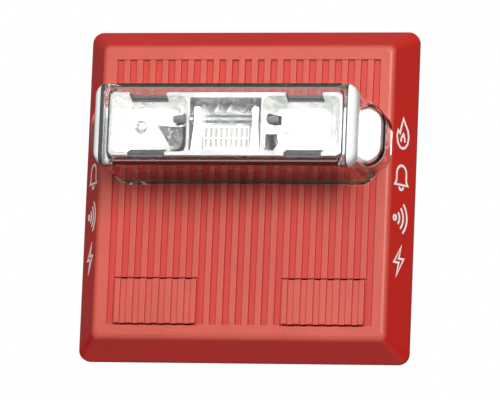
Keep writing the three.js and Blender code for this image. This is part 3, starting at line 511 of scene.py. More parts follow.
lens = {
    "sideMargin": 6.2, "bottom": 3.7, "height": 32.5, "proud": 40.7, "wall": 1.8, "corner": 5.0,
    "edge": 3.5, "rear": 9.8, "lipWidth": 0.9, "lipHeight": 0.9, "earReach": 6.9, "earHalf": 12.5,
    "earFront": 32.0, "earCorner": 8.0, "earWall": 1.4, "insertDepth": 8.0, "bandWidth": 3.8,
    "bandDepth": 7.0, "rebateWall": 1.2, "innerEdge": 1.6, "shadeLeft": 1.3, "shadeRight": 0.35,
    "tabHalf": 4.0, "tabReach": 1.2, "tabAt": 0.6, "padInner": 47.4, "lipEdge": 0.35, "earEdge": 3.0,
    "earInnerEdge": 2.0, "steps": 12,
}
lensHalfX = faceHalf - lens["sideMargin"]
lensHalfZ = lens["height"] / 2
lensZ = lens["bottom"] + lensHalfZ
lensFront = cover["depth"] + lens["proud"]
seatDepth = cover["depth"] + gap


def grooveStart(k):
    return -fieldHalf + k * pitch


# one straight cutter for a groove: drafted walls, and a flare that rounds the ribs beside it
def grooveCutter(x0, x1, z0, z1, floor, top, verts, faces):
    r, lean, foot = cover["ribRound"], cover["draft"], cover["floorRound"]
    profile = [(lean + foot, floor), (lean, floor + foot), (0.0, top - r)]
    for i in range(1, 5):
        angle = i / 4 * math.pi / 2
        profile.append((-r * (1 - math.cos(angle)), top - r + r * math.sin(angle)))
    profile.append((-r, top + 1.5))
    base = len(verts)
    count = 2 * len(profile)
    for z in (z0, z1):
        verts += [(x0 + inset, d, z) for inset, d in profile]
        verts += [(x1 - inset, d, z) for inset, d in reversed(profile)]
    faces += [tuple(base + i for i in range(count)), tuple(base + count + i for i in range(count))]
    faces += [(base + i, base + (i + 1) % count, base + count + (i + 1) % count, base + count + i)
              for i in range(count)]


def coverRing(half, d):
    change = (cover["half"] - half) * (cover["faceCorner"] - cover["backCorner"]) / cover["bevelRun"]
    return (d, half, half, cover["backCorner"] + change)


def soundRange(side):
    near = grooveStart(cover["sideGrooves"] - 1)
    far = grooveStart(0) + pitch / 2
    return (far, near) if side < 0 else (-near, -far)


def makeCover():
    corners = [(cover["half"], 0), (cover["half"], cover["skirt"]),
               (faceHalf, cover["depth"]), (0, cover["depth"])]
    outside = softened(corners, [1.0, cover["edgeRound"]], 8)[:-1]
    shell = loft([coverRing(half, d) for half, d in outside], steps=10)
    inside = [(innerBack, -over), (innerBack, cover["skirt"]), (innerFace, underFace)]
    cut(shell, loft([coverRing(half, d) for half, d in inside], steps=8))
    stops = []
    d0 = cover["plateThickness"] + gap
    for side in (-1, 1):
        for along in (-1, 1):
            near = along * faceHalf * cover["stopAt"]
            a, b = sorted((side * (plateHalf - cover["stopReach"]), side * (innerBack + cover["stopRoot"])))
            low, high = near - cover["stopHalf"], near + cover["stopHalf"]
            stops.append((a, b, d0, d0 + cover["stopDepth"], low, high))
            stops.append((low, high, d0, d0 + cover["stopDepth"], a, b))
    add(shell, blocks(stops))
    # the ribs beside the middle field sit a little lower
    top = cover["depth"]
    width = (cover["sideGrooves"] - 0.5) * pitch
    drops = []
    for side in (-1, 1):
        a, b = sorted((side * fieldHalf, side * (fieldHalf - width)))
        drops.append((a, b, top - cover["sideDrop"], top + over, -fieldHalf, fieldHalf))
    cut(shell, blocks(drops))
    verts, faces = [], []
    for k in range(cover["grooves"]):
        x = grooveStart(k)
        onSide = k < cover["sideGrooves"] or k >= cover["grooves"] - cover["sideGrooves"]
        level = top - cover["sideDrop"] if onSide else top
        floor = top - cover["grooveDepth"]
        grooveCutter(x, x + pitch / 2, -fieldHalf, fieldHalf, floor, level, verts, faces)
    cut(shell, newPiece("grooves", verts, faces))
    for side in (-1, 1):
        soundWindow(shell, side)
    opening = [(underFace - 2, lensHalfX + gap, lensHalfZ + gap, lens["corner"] + gap),
               (top + 2, lensHalfX + gap, lensHalfZ + gap, lens["corner"] + gap)]
    cut(shell, loft(opening, 0, lensZ))
    return shell


def soundWindow(shell, side):
    x0, x1 = soundRange(side)
    z0 = -fieldHalf
    z1 = z0 + cover["windowHeight"]
    top = cover["depth"] + cover["windowRise"]
    h = cover["moatWidth"] / 2
    moatFloor = cover["depth"] - cover["moatDepth"]
    cut(shell, blocks([(x0 - h, x1 + h, moatFloor, top + over, z0 - h, z1 + h)]))
    island = softBlock((x1 - x0) / 2 - h, (z1 - z0) / 2 - h, cover["islandCorner"], moatFloor - gap, top,
                       cover["islandEdge"], (x0 + x1) / 2, (z0 + z1) / 2, 4)
    verts, faces, slots = [], [], []
    for k in range(cover["grooves"]):
        left = grooveStart(k)
        right = left + pitch / 2
        if left < x0 or right > x1:
            continue
        floor = cover["depth"] - cover["sideDrop"]
        grooveCutter(left, right, z0 - over, z1 + over, floor, top, verts, faces)
        slots += [(left, right, underFace - over, top, z - h, z + h) for z in (z0, z1)]
    cut(island, newPiece("island_grooves", verts, faces))
    add(shell, island)
    cut(shell, blocks(slots))


frontCover = soften(makeCover())
place(frontCover, "cover_shell", "cover", coverRed, "red_plastic", ["front_cover"])
print("front cover:", len(frontCover.data.polygons), "faces")

# white marks on the side bevels: a flame, a bell, sound waves and a flash, as plain line drawings
marks = {
    "stroke": 0.95, "thick": 0.06, "sink": 0.02, "rows": [24.5, 7.5, -9.5, -26.5], "shift": 0.35,
    "squeeze": 0.86, "cornerLimit": 0.55,
}
dashes = {
    "z": -56.3, "height": 0.9, "from": -31.0, "to": 29.5, "gap": 1.1, "thick": 0.12, "sink": 0.2,
    "sizes": (2.2, 3.4, 4.6), "shortest": 2.0, "seed": 4,
}


# a band of constant width along a line of points in the mark's own plane
def strokeVerts(points, closed, half):
    count = len(points)
    left, right = [], []
    for i in range(count):
        before = Vector(points[i - 1]) if (i or closed) else Vector(points[0])
        after = Vector(points[(i + 1) % count]) if (i < count - 1 or closed) else Vector(points[-1])
        here = Vector(points[i])
        a = (here - before).normalized() if (here - before).length > tiny else (after - here).normalized()
        b = (after - here).normalized() if (after - here).length > tiny else a
        along = (a + b).normalized()
        side = Vector((-along.y, along.x))
        reach = half / max(abs(side.dot(Vector((-a.y, a.x)))), marks["cornerLimit"])
        left.append(here + side * reach)
        right.append(here - side * reach)
    return left, right


def arc(x, y, radius, start, end, steps=14):
    angles = [math.radians(start + (end - start) * i / steps) for i in range(steps + 1)]
    return [(x + radius * math.cos(angle), y + radius * math.sin(angle)) for angle in angles]


def markLines():
    flame = [(0.0, 6.0), (1.6, 3.6), (3.2, 1.4), (3.8, -1.2), (3.2, -3.9), (1.6, -5.6), (0.0, -6.0),
             (-1.6, -5.6), (-3.2, -3.9), (-3.8, -1.2), (-3.2, 1.0), (-1.9, 0.0), (-1.2, 2.6)]
    tongue = [(-1.3, -3.4), (-0.9, -1.7), (0.3, -0.2), (1.2, -1.9), (1.3, -3.4)]
    bell = [(-4.2, -3.6), (-3.2, -2.2)] + arc(0.0, 1.0, 3.1, 180, 0) + [(3.2, -2.2), (4.2, -3.6)]
    waves = [arc(-3.4, 0.0, r, -48, 48) for r in (3.0, 5.4, 7.8)]
    flash = [(1.4, 6.0), (-3.0, -0.6), (0.2, -0.6), (-1.2, -6.0), (3.2, 1.0), (0.0, 1.0)]
    return [[(flame, True), (tongue, False)], [(bell, True), (arc(0.0, -4.3, 1.3, 180, 360), False)],
            [(arc(-3.4, 0.0, 0.9, 0, 344), True)] + [(wave, False) for wave in waves], [(flash, True)]]


def makeMarks(side):
    slope = math.atan2(cover["depth"] - cover["skirt"], cover["bevelRun"])
    middleX = (cover["half"] + faceHalf) / 2 - marks["shift"] * math.cos(slope)
    middleD = (cover["depth"] + cover["skirt"]) / 2 + marks["shift"] * math.sin(slope)
    half = marks["stroke"] / 2
    verts, faces = [], []
    for row, lines in zip(marks["rows"], markLines()):
        for points, closed in lines:
            left, right = strokeVerts(points, closed, half)
            count = len(left)
            base = len(verts)
            for lift in (-marks["sink"], marks["thick"]):
                for p in left + right:
                    across = p.x * marks["squeeze"]
                    x = middleX + side * across * math.cos(slope)
                    d = middleD - side * across * math.sin(slope)
                    x, d = x + lift * math.sin(slope), d + lift * math.cos(slope)
                    verts.append((side * x, d, row + p.y))
            up = 2 * count
            for i in range(count if closed else count - 1):
                j = (i + 1) % count
                a, b, c, e = base + i, base + j, base + count + j, base + count + i
                faces += [(a, b, c, e), (a + up, b + up, c + up, e + up)]
                faces += [(a, b, b + up, a + up), (e, c, c + up, e + up)]
            if not closed:
                for i in (0, count - 1):
                    a, b = base + i, base + count + i
                    faces.append((a, b, b + up, a + up))
    return newPiece("marks", verts, faces)


for side, word in ((-1, "left"), (1, "right")):
    piece = makeMarks(side)
    shadeSmooth(piece, 30)
    place(piece, "bevel_marks_" + word, "cover", markWhite, "white_plastic")


def makeDashes():
    draw = random.Random(dashes["seed"])
    rows, x = [], dashes["from"]
    half, top = dashes["height"] / 2, cover["depth"]
    while x < dashes["to"] - dashes["shortest"]:
        size = min(draw.choice(dashes["sizes"]), dashes["to"] - x)
        rows.append((x, x + size, top - dashes["sink"], top + dashes["thick"], dashes["z"] - half,
                     dashes["z"] + half))
        x += size + dashes["gap"]
    return blocks(rows)


place(soften(makeDashes(), 0.08, 2), "raised_dashes", "cover", coverRed, "red_plastic")
print("marks ready")

# lens, ears and the white pieces they carry


def lensOutside():
    return softBlock(lensHalfX, lensHalfZ, lens["corner"], lens["rear"], lensFront, lens["edge"],
                     0, lensZ, lens["steps"])


def earForm(side, grow, d0, d1, edge):
    outer = lensHalfX + lens["earReach"] + grow
    inner = lensHalfX - lens["earCorner"]
    return softBlock((outer - inner) / 2, lens["earHalf"] + grow, lens["earCorner"] + grow, d0, d1, edge,
                     side * (outer + inner) / 2, lensZ, lens["steps"])


def bandZone(side, grow):
    a, b = sorted((side * (lensHalfX - lens["bandWidth"] - grow), side * (lensHalfX + over)))
    return blocks([(a, b, lensFront - lens["bandDepth"] - grow, lensFront + over, lens["bottom"] - over,
                    lens["bottom"] + lens["height"] + over)])


# a block over the part of the band zone that is inside (+1) or outside (-1) the edge of the painted shade
# strip
def bandSplit(side, shadeWidth, part):
    edge = lensHalfX - lens["bandWidth"] + shadeWidth
    reach = lensHalfX + 2 * over if part < 0 else lensHalfX - lens["bandWidth"] - over
    a, b = sorted((side * edge, side * reach))
    return blocks([(a, b, lensFront - lens["bandDepth"] - over, lensFront + 2 * over,
                    lens["bottom"] - 2 * over, lens["bottom"] + lens["height"] + 2 * over)])


def makeLens():
    body = lensOutside()
    lipX, lipZ = lensHalfX + lens["lipWidth"], lensHalfZ + lens["lipWidth"]
    lip = softBlock(lipX, lipZ, lens["corner"] + lens["lipWidth"], seatDepth,
                    seatDepth + lens["lipHeight"], lens["lipEdge"], 0, lensZ, lens["steps"])
    tabTop = underFace - gap
    half, reach = lens["tabHalf"], lensHalfZ + lens["tabReach"]
    tabs = [(x * lensHalfX - half, x * lensHalfX + half, tabTop - 1, tabTop, lensZ - reach, lensZ + reach)
            for x in (-lens["tabAt"], lens["tabAt"])]
    ears = [earForm(side, 0, seatDepth, lens["earFront"], lens["earEdge"]) for side in (-1, 1)]
    add(body, lip, blocks(tabs), *ears)
    radius = lens["corner"] - lens["wall"]
    halfX, halfZ = lensHalfX - lens["wall"], lensHalfZ - lens["wall"]
    frontHalfX = lensHalfX - lens["bandWidth"] - gap - lens["rebateWall"]
    step = lensFront - lens["bandDepth"] - gap - lens["rebateWall"]
    main = loft([(d, halfX, halfZ, radius) for d in (lens["rear"] - over, step)], 0, lensZ, lens["steps"])
    front = softBlock(frontHalfX, halfZ, radius, step - over, lensFront - lens["wall"], lens["innerEdge"],
                      0, lensZ, lens["steps"])
    cut(body, main, front)
    wall = lens["earWall"]
    for side in (-1, 1):
        ear = earForm(side, -wall, seatDepth - over, lens["earFront"] - wall, lens["earInnerEdge"])
        cut(body, ear, bandZone(side, gap))
    return body


lensPiece = soften(makeLens(), sharp=40)
place(lensPiece, "lens_shell", "cover", lensClear, "clear_plastic", ["lens"])
for side, word in ((-1, "left"), (1, "right")):
    # a dark strip along the inner edge of the rebate is painted shade for the band's shaded inner side, and
    # it is wider on the left
    shadeWidth = lens["shadeLeft"] if side < 0 else lens["shadeRight"]
    shadeStrip = soften(keep(lensOutside(), bandZone(side, 0)))
    band = soften(cut(keep(lensOutside(), bandZone(side, 0)), bandSplit(side, shadeWidth, 1)), 0.25, 2)
    place(band, "band_" + word, "cover", bandWhite, "white_plastic", ["end_band_" + word])
    shadeStrip = soften(cut(shadeStrip, bandSplit(side, shadeWidth, -1)))
    place(shadeStrip, "band_shade_" + word, "cover", bandShadeDark, "white_plastic")
    inset = lens["earWall"] + gap
    insert = earForm(side, -inset, lens["earFront"] - lens["insertDepth"], lens["earFront"] - inset,
                     lens["earInnerEdge"])
    a, b = sorted((side * lens["padInner"], side * cover["half"]))
    zone = blocks([(a, b, 0, lensFront, lensZ - lens["height"], lensZ + lens["height"])])
    insert = soften(keep(insert, zone), 0.3, 3)
    place(insert, "ear_pad_" + word, "cover", bandWhite, "white_plastic", ["ear_insert_" + word])
print("lens:", len(lensPiece.data.polygons), "faces")

# reflector with its two bowls, and the flash tube in the trough between them
reflector = {
    "halfX": 46.4, "halfZ": 12.45, "front": 52.4, "wall": 1.2, "bowlFloor": 45.0, "troughHalf": 14.2,
    "troughFloor": 38.0, "frameTop": 24.0, "bowlSteps": 24, "flatX": 9.2, "flatZ": 7.0, "rim": 1.2,
    "notchNear": 23.7, "notchFar": 38.5, "notchHeight": 3.0, "notchDepth": 6.0, "screwX": -35.0,
    "pinX": 24.0, "screwHole": 1.75, "pinHole": 1.5, "corner": 2.4, "bowlCorner": 3.0, "bowlShift": 0.1,
    "bowlInset": 0.7, "leadWindow": 4.6, "leadWindowHalf": 2.3, "leadWindowHigh": 2.0, "wireHole": 0.95,
    "wireBelow": 4.0, "channelSlack": 0.6, "channelPast": 7.0,
}
tube = {
    "radius": 1.6, "half": 13.0, "depth": 48.0, "raise": 2.6, "electrode": 6.4, "lead": 0.45,
    "leadInset": 1.0, "partSeat": 6.5, "capRadius": 0.85, "holderInset": 1.4, "sleeveLeft": 8.3,
    "sleeveRight": 6.9, "sleeveStart": 15.1, "sleeveBelow": 1.6, "wireRadius": 0.35, "wireX": 7.5,
    "saddleWaist": 1.2, "saddleFoot": 2.2, "waistBelow": 3.0, "saddleTop": 4.6, "saddleFront": 2.6,
    "footAbove": 2.0,
}
tubeZ = lensZ + tube["raise"]
troughFoot = lensZ - reflector["halfZ"] + tube["footAbove"] + gap
bowlX = (reflector["halfX"] + reflector["troughHalf"]) / 2 + reflector["bowlShift"]
bowlHalfX = (reflector["halfX"] - reflector["troughHalf"]) / 2 - reflector["bowlInset"]


def bowlForm(side, grow):
    rings = []
    floor = reflector["bowlFloor"] - grow
    floorX, floorZ, steps = reflector["flatX"], reflector["flatZ"], reflector["bowlSteps"]
    for k in range(steps + 1):
        t = k / steps
        wide = math.sqrt(t)
        front = floor + t * (reflector["front"] - floor) if k < steps else reflector["front"] + over
        rings.append((front, floorX + grow + (bowlHalfX - floorX) * wide,
                      floorZ + grow + (reflector["halfZ"] - reflector["rim"] - floorZ) * wide,
                      reflector["bowlCorner"] + grow))
    return loft(rings, side * bowlX, lensZ, 6)


def makeReflector():
    rear = reflector["frameTop"] + gap
    w = reflector["wall"]
    halfX, halfZ, front = reflector["halfX"], reflector["halfZ"], reflector["front"]
    z0, z1 = lensZ - halfZ + over, lensZ + halfZ - over
    trough = reflector["troughHalf"]
    corner = reflector["corner"]
    hollow = loft([(d, halfX - w, halfZ - w, corner - w) for d in (rear - over, front - w)], 0, lensZ, 6)
    cut(hollow, blocks([(-trough - w, trough + w, reflector["troughFloor"] - w, front, z0, z1)]))
    cut(hollow, bowlForm(-1, w), bowlForm(1, w))
    body = loft([(d, halfX, halfZ, corner) for d in (rear, front)], 0, lensZ, 6)
    cut(body, hollow)
    for side in (-1, 1):
        cut(body, bowlForm(side, 0))
        x = side * (trough + reflector["leadWindow"])
        wide, high = reflector["leadWindowHalf"], reflector["leadWindowHigh"]
        floor = reflector["bowlFloor"]
        window = blocks([(x - wide, x + wide, floor - w - over, front + over, tubeZ - high, tubeZ + high)])
        fixing, fixingX = ("screwHole", "screwX") if side < 0 else ("pinHole", "pinX")
        hole = rod(reflector[fixing], floor - 3, floor + over, (reflector[fixingX], lensZ))
        n0, n1 = sorted((side * reflector["notchNear"], side * reflector["notchFar"]))
        notches = []
        for up in (-1, 1):
            rim = lensZ + up * halfZ
            m0, m1 = sorted((rim - up * reflector["notchHeight"], rim + up))
            notches.append((n0, n1, front - reflector["notchDepth"], front + over, m0, m1))
        cut(body, window, hole, blocks(notches))
    cut(body, blocks([(-trough, trough, reflector["troughFloor"], front + over, z0 + over, z1 - over)]))
    floor = reflector["troughFloor"]
    wireAt = (tube["wireX"], lensZ + halfZ - reflector["wireBelow"])
    wireHole = rod(reflector["wireHole"], floor - 3, floor + over, wireAt)
    radius, reach = tube["radius"] + reflector["channelSlack"], trough + reflector["channelPast"]
    channel = rod(radius, -reach, reach, (tube["depth"], tubeZ), "x", 32)
    cut(body, wireHole, channel)
    return body


# rough pockets in the corners of the bowls beside the trough, painted dark grey as painted shade: (x, z)
# outlines, anticlockwise
pockets = {
    "floor": 44.4, "past": 2.3,
    "outlines": [[(-28.6, 20.6), (-21.5, 9.3), (-15.9, 9.3), (-15.9, 19.6)],
                 [(15.9, 10.1), (18.6, 10.1), (20.2, 14.0), (19.4, 17.2), (15.9, 16.4)]],
}


def inPocket(x, z):
    for points in pockets["outlines"]:
        edges = zip(points, points[1:] + points[:1])
        if all((bx - ax) * (z - az) - (bz - az) * (x - ax) > -0.4 for (ax, az), (bx, bz) in edges):
            return True
    return False


def cutPockets(body):
    for points in pockets["outlines"]:
        cut(body, slab(points, pockets["floor"], reflector["front"] + pockets["past"]))
    return body


reflectorPiece = soften(cutPockets(makeReflector()), sharp=28)
place(reflectorPiece, "reflector_shell", "base", chrome, "mirror_coat", ["reflector"])
for extra in (blackPlastic, rimShadeGrey, sideChrome, pocketShadeGrey):
    reflectorPiece.data.materials.append(extra)


# the coating is thick in the bowls and thin on the sides; the back faces and the notches are black plastic,
# the front rim is painted darker grey as painted shade, and the pockets are painted dark grey as painted
# shade
def coating(face):
    x, d, z = face.center.x / mm, -face.center.y / mm, face.center.z / mm
    high = abs(z - lensZ)
    below = d < reflector["front"] - 0.3
    square = max(abs(axis) for axis in face.normal) > 0.999
    notched = square and reflector["notchNear"] - 0.1 < abs(x) < reflector["notchFar"] + 0.1
    notched = notched and below and high > reflector["halfZ"] - reflector["notchHeight"] - 0.1
    if face.normal.y > 0.2 or notched:
        return 1
    # front rim faces: painted darker grey as painted shade
    if d > reflector["front"] - 0.05 and face.normal.y < -0.9:
        return 2
    outside = abs(x) > reflector["halfX"] - 0.9 or high > reflector["halfZ"] - 0.3
    if outside or abs(x) < reflector["troughHalf"] + 0.1:
        return 3
    return 4 if inPocket(x, z) and below else 0


for face in reflectorPiece.data.polygons:
    face.material_index = coating(face)
print("reflector:", len(reflectorPiece.data.polygons), "faces")


def tubeProfile():
    r, half = tube["radius"], tube["half"]
    end = [(r * 0.7, half), (r * 0.92, half - 0.25), (r, half - 0.8)]
    return [(radius, -along) for radius, along in end] + end[::-1]


flashTube = turned(tubeProfile(), (tube["depth"], tubeZ), "x", 40)
soften(flashTube, sharp=50)
place(flashTube, "flash_tube_glass", "base", tubeGlass, "tube_glass", ["flash_tube"])

for side, word in ((-1, "left"), (1, "right")):
    start = side * (tube["half"] + gap)
    leadX = side * (tube["half"] + gap + tube["electrode"] - tube["leadInset"])
    end = start + side * (tube["sleeveLeft"] if side < 0 else tube["sleeveRight"])
    r = tube["radius"] * tube["capRadius"]
    sleeve = side * tube["sleeveStart"]
    profile = [(r * 0.55, start), (r * 0.8, start + side * 0.3), (r * 0.8, sleeve), (r, sleeve),
               (r, end - side * 0.4), (r * 0.7, end)]
    cap = turned(profile, (tube["depth"], tubeZ), "x", 32)
    lead = rod(tube["lead"], tube["partSeat"], tube["depth"] - 0.2, (leadX, tubeZ), "d", 16)
    soften(add(cap, lead), 0.08, 2)
    place(cap, "electrode_" + word, "base", silverWire, "steel", ["tube_electrode_" + word])
    # a sleeve covers the outer end of each electrode, painted dark grey as painted shade in the lead
    # windows
    cap.data.materials.append(sleeveShadeGrey)
    for face in cap.data.polygons:
        outer = abs(face.center.x) > (tube["sleeveStart"] - 0.02) * mm
        if outer and -face.center.y > (tube["depth"] - tube["sleeveBelow"]) * mm:
            face.material_index = 1

    waist, top = tubeZ - tube["waistBelow"], tubeZ + tube["saddleTop"]
    x = side * (tube["half"] - tube["holderInset"])
    a, b = tube["saddleWaist"], tube["saddleFoot"]
    shape = [(-b, troughFoot), (b, troughFoot), (a, waist), (a, top), (-a, top), (-a, waist)]
    holder = slab([(x + px, pz) for px, pz in shape], reflector["troughFloor"] + gap,
                  tube["depth"] + tube["saddleFront"])
    hole = rod(tube["radius"] + gap, x - 3, x + 3, (tube["depth"], tubeZ), "x", 32)
    soften(cut(holder, hole), 0.3, 3)
    place(holder, "tube_saddle_" + word, "base", whitePlastic, "white_plastic", ["tube_holder_" + word])


# the white panel below the tube: two rows of upright flutes, and a shelf that reaches the trough's floor
fluted = {
    "flutes": 9, "front": 1.0, "thick": 1.4, "shelf": 1.2, "shelfInset": 1.0, "underTube": 1.0,
    "depth": 0.5, "foot": 1.6, "head": 1.2, "split": 0.4,
}


def makePanel():
    halfX = tube["half"] - tube["holderInset"] - tube["saddleFoot"] - gap
    z0, z1 = troughFoot, tubeZ - tube["radius"] - fluted["underTube"]
    front = tube["depth"] + fluted["front"]
    panel = blocks([(-halfX, halfX, front - fluted["thick"], front, z0, z1)])
    shelfFront, shelfTop = front - fluted["shelfInset"], z0 + fluted["shelf"]
    add(panel, blocks([(-halfX, halfX, reflector["troughFloor"] + gap, shelfFront, z0, shelfTop)]))
    step = 2 * halfX / fluted["flutes"]
    flutes = []
    middle, split = (z0 + z1) / 2, fluted["split"]
    for k in range(fluted["flutes"]):
        x = -halfX + (k + 0.5) * step
        for low, high in ((z0 + fluted["foot"], middle - split), (middle + split, z1 - fluted["head"])):
            flutes.append((x - step / 4, x + step / 4, front - fluted["depth"], front + over, low, high))
    return cut(panel, blocks(flutes))


panel = soften(makePanel(), 0.14, 2)
place(panel, "fluted_panel", "base", panelWhite, "white_plastic", ["tube_panel"])
# the flute floors are painted grey as painted shade in the grooves
panel.data.materials.append(fluteShadeGrey)
for face in panel.data.polygons:
    if face.normal.y < -0.9 and -face.center.y < (tube["depth"] + 0.6) * mm:
        face.material_index = 1

# teeth that stand on the trough's floor above the tube, white as painted highlights in place of the bright
# reflections there
teeth = {
    "at": (-11.4, -5.2, -0.2, 9.4), "foot": 25.8, "footHalf": 0.8, "footThick": 8.0,
    "tip": 30.1, "tipHalf": 0.3, "tipThick": 3.0, "rise": 0.05,
}


def makeTeeth():
    verts, faces = [], []
    rear = reflector["troughFloor"] + teeth["rise"]
    for x in teeth["at"]:
        base = len(verts)
        for end in ("foot", "tip"):
            z, half, front = teeth[end], teeth[end + "Half"], rear + teeth[end + "Thick"]
            verts += [(x - half, rear, z), (x + half, rear, z), (x + half, front, z), (x - half, front, z)]
        faces += [tuple(base + i for i in face) for face in boxFaces]
    return newPiece("teeth", verts, faces)


place(soften(makeTeeth(), 0.1, 2), "trough_highlight_teeth", "base", bandWhite, "white_plastic")


# a round wire through points (x, d, z)
def wirePiece(points, radius, steps=6):
    curve = bpy.data.curves.new("wire", "CURVE")
    curve.dimensions = "3D"
    line = curve.splines.new("POLY")
    smooth = []
    for k in range(len(points) - 1):
        a = Vector(points[max(k - 1, 0)])
        b, c = Vector(points[k]), Vector(points[k + 1])
        e = Vector(points[min(k + 2, len(points) - 1)])
        for i in range(steps):
            t = i / steps
            smooth.append(0.5 * (2 * b + (c - a) * t + (2 * a - 5 * b + 4 * c - e) * t ** 2
                                 + (3 * b - a - 3 * c + e) * t ** 3))
    smooth.append(Vector(points[-1]))
    line.points.add(len(smooth) - 1)
    for point, p in zip(line.points, smooth):
        point.co = (p.x * mm, -p.y * mm, p.z * mm, 1.0)
    curve.bevel_depth = radius * mm
    curve.bevel_resolution = 3
    curve.use_fill_caps = True
    holder = bpy.data.objects.new("wire", curve)
    bpy.context.scene.collection.objects.link(holder)
    graph = bpy.context.evaluated_depsgraph_get()
    graph.update()
    mesh = bpy.data.meshes.new_from_object(holder.evaluated_get(graph))
    piece = bpy.data.objects.new("wire", mesh)
    bpy.context.scene.collection.objects.link(piece)
    bpy.data.objects.remove(holder)
    faceOutwards(piece)
    shadeSmooth(piece, 50)
    return piece


wireRadius = tube["wireRadius"]
wireX, wireZ = tube["wireX"], lensZ + reflector["halfZ"] - reflector["wireBelow"]
overTube = tubeZ + tube["radius"] + gap + wireRadius
trigger = [(-7, tube["depth"], overTube), (0, tube["depth"], overTube), (6, tube["depth"], overTube),
           (wireX, tube["depth"] - 3, wireZ - 1), (wireX, reflector["troughFloor"] + 4, wireZ),
           (wireX, reflector["troughFloor"] - 6, wireZ), (5, tube["partSeat"] + 14, wireZ - 2),
           (3, tube["partSeat"] + 9.3, lensZ + 5)]
place(wirePiece(trigger, wireRadius), "trigger_lead", "base", silverWire, "copper_wire", ["trigger_wire"])
print("tube and holders ready")


# cross-recessed screws, as shares of the head's radius, and "rim" of its height
screw = {
    "tall": 0.62, "shaft": 0.5, "arm": 0.62, "armHalf": 0.13, "rim": 0.35, "domeSteps": 6, "point": 0.01,
}


# head, recess and shank in one turned piece
def crossScrew(x, z, seat, headRadius, headHeight, shaftRadius, reach):
    end, rim = seat - reach, seat + headHeight * screw["rim"]
    point, steps = screw["point"], screw["domeSteps"]
    profile = [(point, end), (shaftRadius * 0.6, end + 0.2), (shaftRadius, end + 1.0),
               (shaftRadius, seat), (headRadius, seat), (headRadius, rim)]
    for i in range(1, steps + 1):
        angle = i / steps * math.pi / 2
        rise = screw["rim"] + (1 - screw["rim"]) * math.sin(angle)
        profile.append((max(headRadius * math.cos(angle), point), seat + headHeight * rise))
    piece = turned(profile, (x, z), "d", 40)
    arm, half, top = headRadius * screw["arm"], headRadius * screw["armHalf"], seat + headHeight + over
    cross = [(x - arm, x + arm, rim, top, z - half, z + half)]
    other = [(x - half, x + half, rim, top, z - arm, z + arm)]
    cut(piece, blocks(cross), blocks(other))
    return soften(piece, 0.05, 2, sharp=35)


def swapScrew(node):
    low, high = ([v / mm for v in end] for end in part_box(node))
    x, z = (low[0] + high[0]) / 2, (low[2] + high[2]) / 2
    headRadius = (high[0] - low[0]) / 2
    front, rear = -low[1], -high[1]
    tall = headRadius * screw["tall"]
    seat = front - tall
    piece = crossScrew(x, z, seat, headRadius, tall, headRadius * screw["shaft"], seat - rear)
    place(piece, node + "_cross", "base", steel, "steel", [node])


boardScrews = ["board_screw_%d" % k for k in range(1, 5)]
for node in ["reflector_screw"] + boardScrews + ["horn_screw_left", "horn_screw_right"]:
    swapScrew(node)


# a CAD node that keeps its shape gets rounded edges and a finish of its own
def refine(node, material, slot, edge, sharp=34):
    source = frame["nodes"][node]
    piece = bpy.data.objects.new(node + "_fine", source.data.copy())
    bpy.context.scene.collection.objects.link(piece)
    soften(piece, edge, 2, sharp)
    place(piece, node + "_fine", source["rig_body"], material, slot, [node])


black, white = (blackPlastic, "black_plastic"), (whitePlastic, "white_plastic")
finishes = {
    "mounting_plate": (plateRed, "plate_plastic", 0.25), "circuit_board": (boardGreen, "board_green", 0.1),
    "reflector_frame": (*black, 0.2), "locating_pin": (*white, 0.1), "trigger_coil": (*black, 0.25),
    "transformer_core": (ferrite, "ferrite", 0.3),
    "transformer_winding": (windingTape, "winding_tape", 0.4), "control_chip": (*black, 0.1),
    "switch_transistor": (*black, 0.15), "blocking_diode_1": (*black, 0.15),
    "blocking_diode_2": (*black, 0.15), "horn_housing": (*black, 0.25),
    "piezo_ceramic": (ceramic, "ceramic", 0.05), "piezo_disc": (brass, "brass", 0.05),
    "horn_ring": (*black, 0.12), "horn_cap": (*black, 0.2), "candela_selector": (*black, 0.2),
    "candela_knob": (*white, 0.12), "tone_switch": (*black, 0.15), "tone_slider": (*white, 0.12),
    "volume_switch": (*black, 0.15), "volume_slider": (*white, 0.12),
    "terminal_block": (terminalGreen, "terminal_plastic", 0.2),
    "flash_capacitor": (sleeveBlue, "capacitor_sleeve", 0.4),
}
for k in range(1, 5):
    finishes["terminal_screw_%d" % k] = (steel, "steel", 0.1)
    finishes["clamp_plate_%d" % k] = (steel, "steel", 0.1)
for node, (material, slot, edge) in finishes.items():
    refine(node, material, slot, edge)
print("board parts ready")

# camera, floor, light
view = {
    "azimuth": 12.07, "elevation": -9.72, "roll": 2.32, "distance": 2.146, "lens": 388.2, "sensor": 36.0,
    "shiftX": -0.0006, "shiftY": -0.0044, "clipStart": 0.05, "clipEnd": 20.0,
}
azimuth, elevation, roll = (math.radians(view[key]) for key in ("azimuth", "elevation", "roll"))
across = Vector((math.cos(azimuth), math.sin(azimuth), 0))
level = math.cos(elevation)
back = Vector((math.sin(azimuth) * level, -math.cos(azimuth) * level, math.sin(elevation)))
upward = back.cross(across)
right = across * math.cos(roll) + upward * math.sin(roll)
upright = upward * math.cos(roll) - across * math.sin(roll)
lensData = bpy.data.cameras.new("camera")
lensData.lens = view["lens"]
lensData.sensor_width = view["sensor"]
lensData.shift_x, lensData.shift_y = view["shiftX"], view["shiftY"]
lensData.clip_start, lensData.clip_end = view["clipStart"], view["clipEnd"]
camera = bpy.data.objects.new("camera", lensData)
turn = Matrix((right, upright, back)).transposed().to_4x4()
camera.matrix_world = Matrix.Translation(back * view["distance"]) @ turn
bpy.context.scene.collection.objects.link(camera)
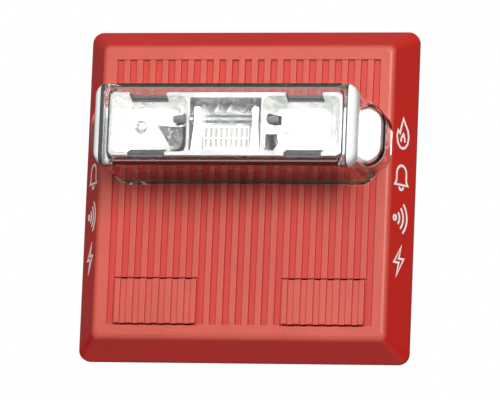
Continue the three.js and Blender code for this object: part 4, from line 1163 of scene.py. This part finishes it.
bpy.context.scene.camera = camera

floorPiece = blocks([(-1500, 1500, -1400, 1600, -902, -900)])
floorPiece.name = "floor"
floorPaint = surface("floor_paint", (0.86, 0.86, 0.85), 0.8, cloud=3.0, spread=0.02, grain=300.0,
                     grainDepth=0.05)
floorPiece.data.materials.append(floorPaint)


def areaLight(name, towards, distance, width, height, power):
    data = bpy.data.lights.new(name, "AREA")
    data.shape = "RECTANGLE"
    data.size, data.size_y = width, height
    data.energy = power
    lamp = bpy.data.objects.new(name, data)
    direction = Vector(towards).normalized()
    lamp.location = direction * distance
    lamp.rotation_euler = direction.to_track_quat("Z", "Y").to_euler()
    lamp.visible_camera = False
    bpy.context.scene.collection.objects.link(lamp)


# metres and watts
lamps = {
    "front": {"towards": (-0.2, -0.92, 0.42), "distance": 1.3, "width": 1.3, "height": 1.15, "power": 5.7},
    "key": {"towards": (0.3, -0.9, 0.25), "distance": 1.3, "width": 0.5, "height": 0.5, "power": 12.2},
}
for name, lamp in lamps.items():
    areaLight(name, **lamp)

# a grey room, brighter overhead, behind a plain white ground
room = {"strength": 0.9, "greys": ((0.35, 0.02), (0.48, 0.10), (0.60, 0.25), (0.95, 0.30))}
world = bpy.data.worlds.new("studio")
bpy.context.scene.world = world
world.use_nodes = True
tree = world.node_tree
shade = tree.nodes["Background"]
up = addNode(tree, "SeparateXYZ", {}, Vector=addNode(tree, "TexCoord").outputs["Generated"]).outputs["Z"]
greys = [(height, (grey, grey, grey)) for height, grey in room["greys"]]
dome = ramp(tree, span(tree, up, 0.0, 1.0, -1.0, 1.0), greys)
tree.links.new(dome, shade.inputs["Color"])
shade.inputs["Strength"].default_value = room["strength"]
plain = addNode(tree, "Background", {}, Color=(1, 1, 1, 1), Strength=1.0)
ray = addNode(tree, "LightPath")
switchShaders(tree, ray.outputs["Is Camera Ray"], shade.outputs["Background"], plain.outputs["Background"],
              "World Output")
bpy.context.scene.view_settings.view_transform = "Standard"
bpy.context.scene.view_settings.look = "None"
print("camera and light ready")
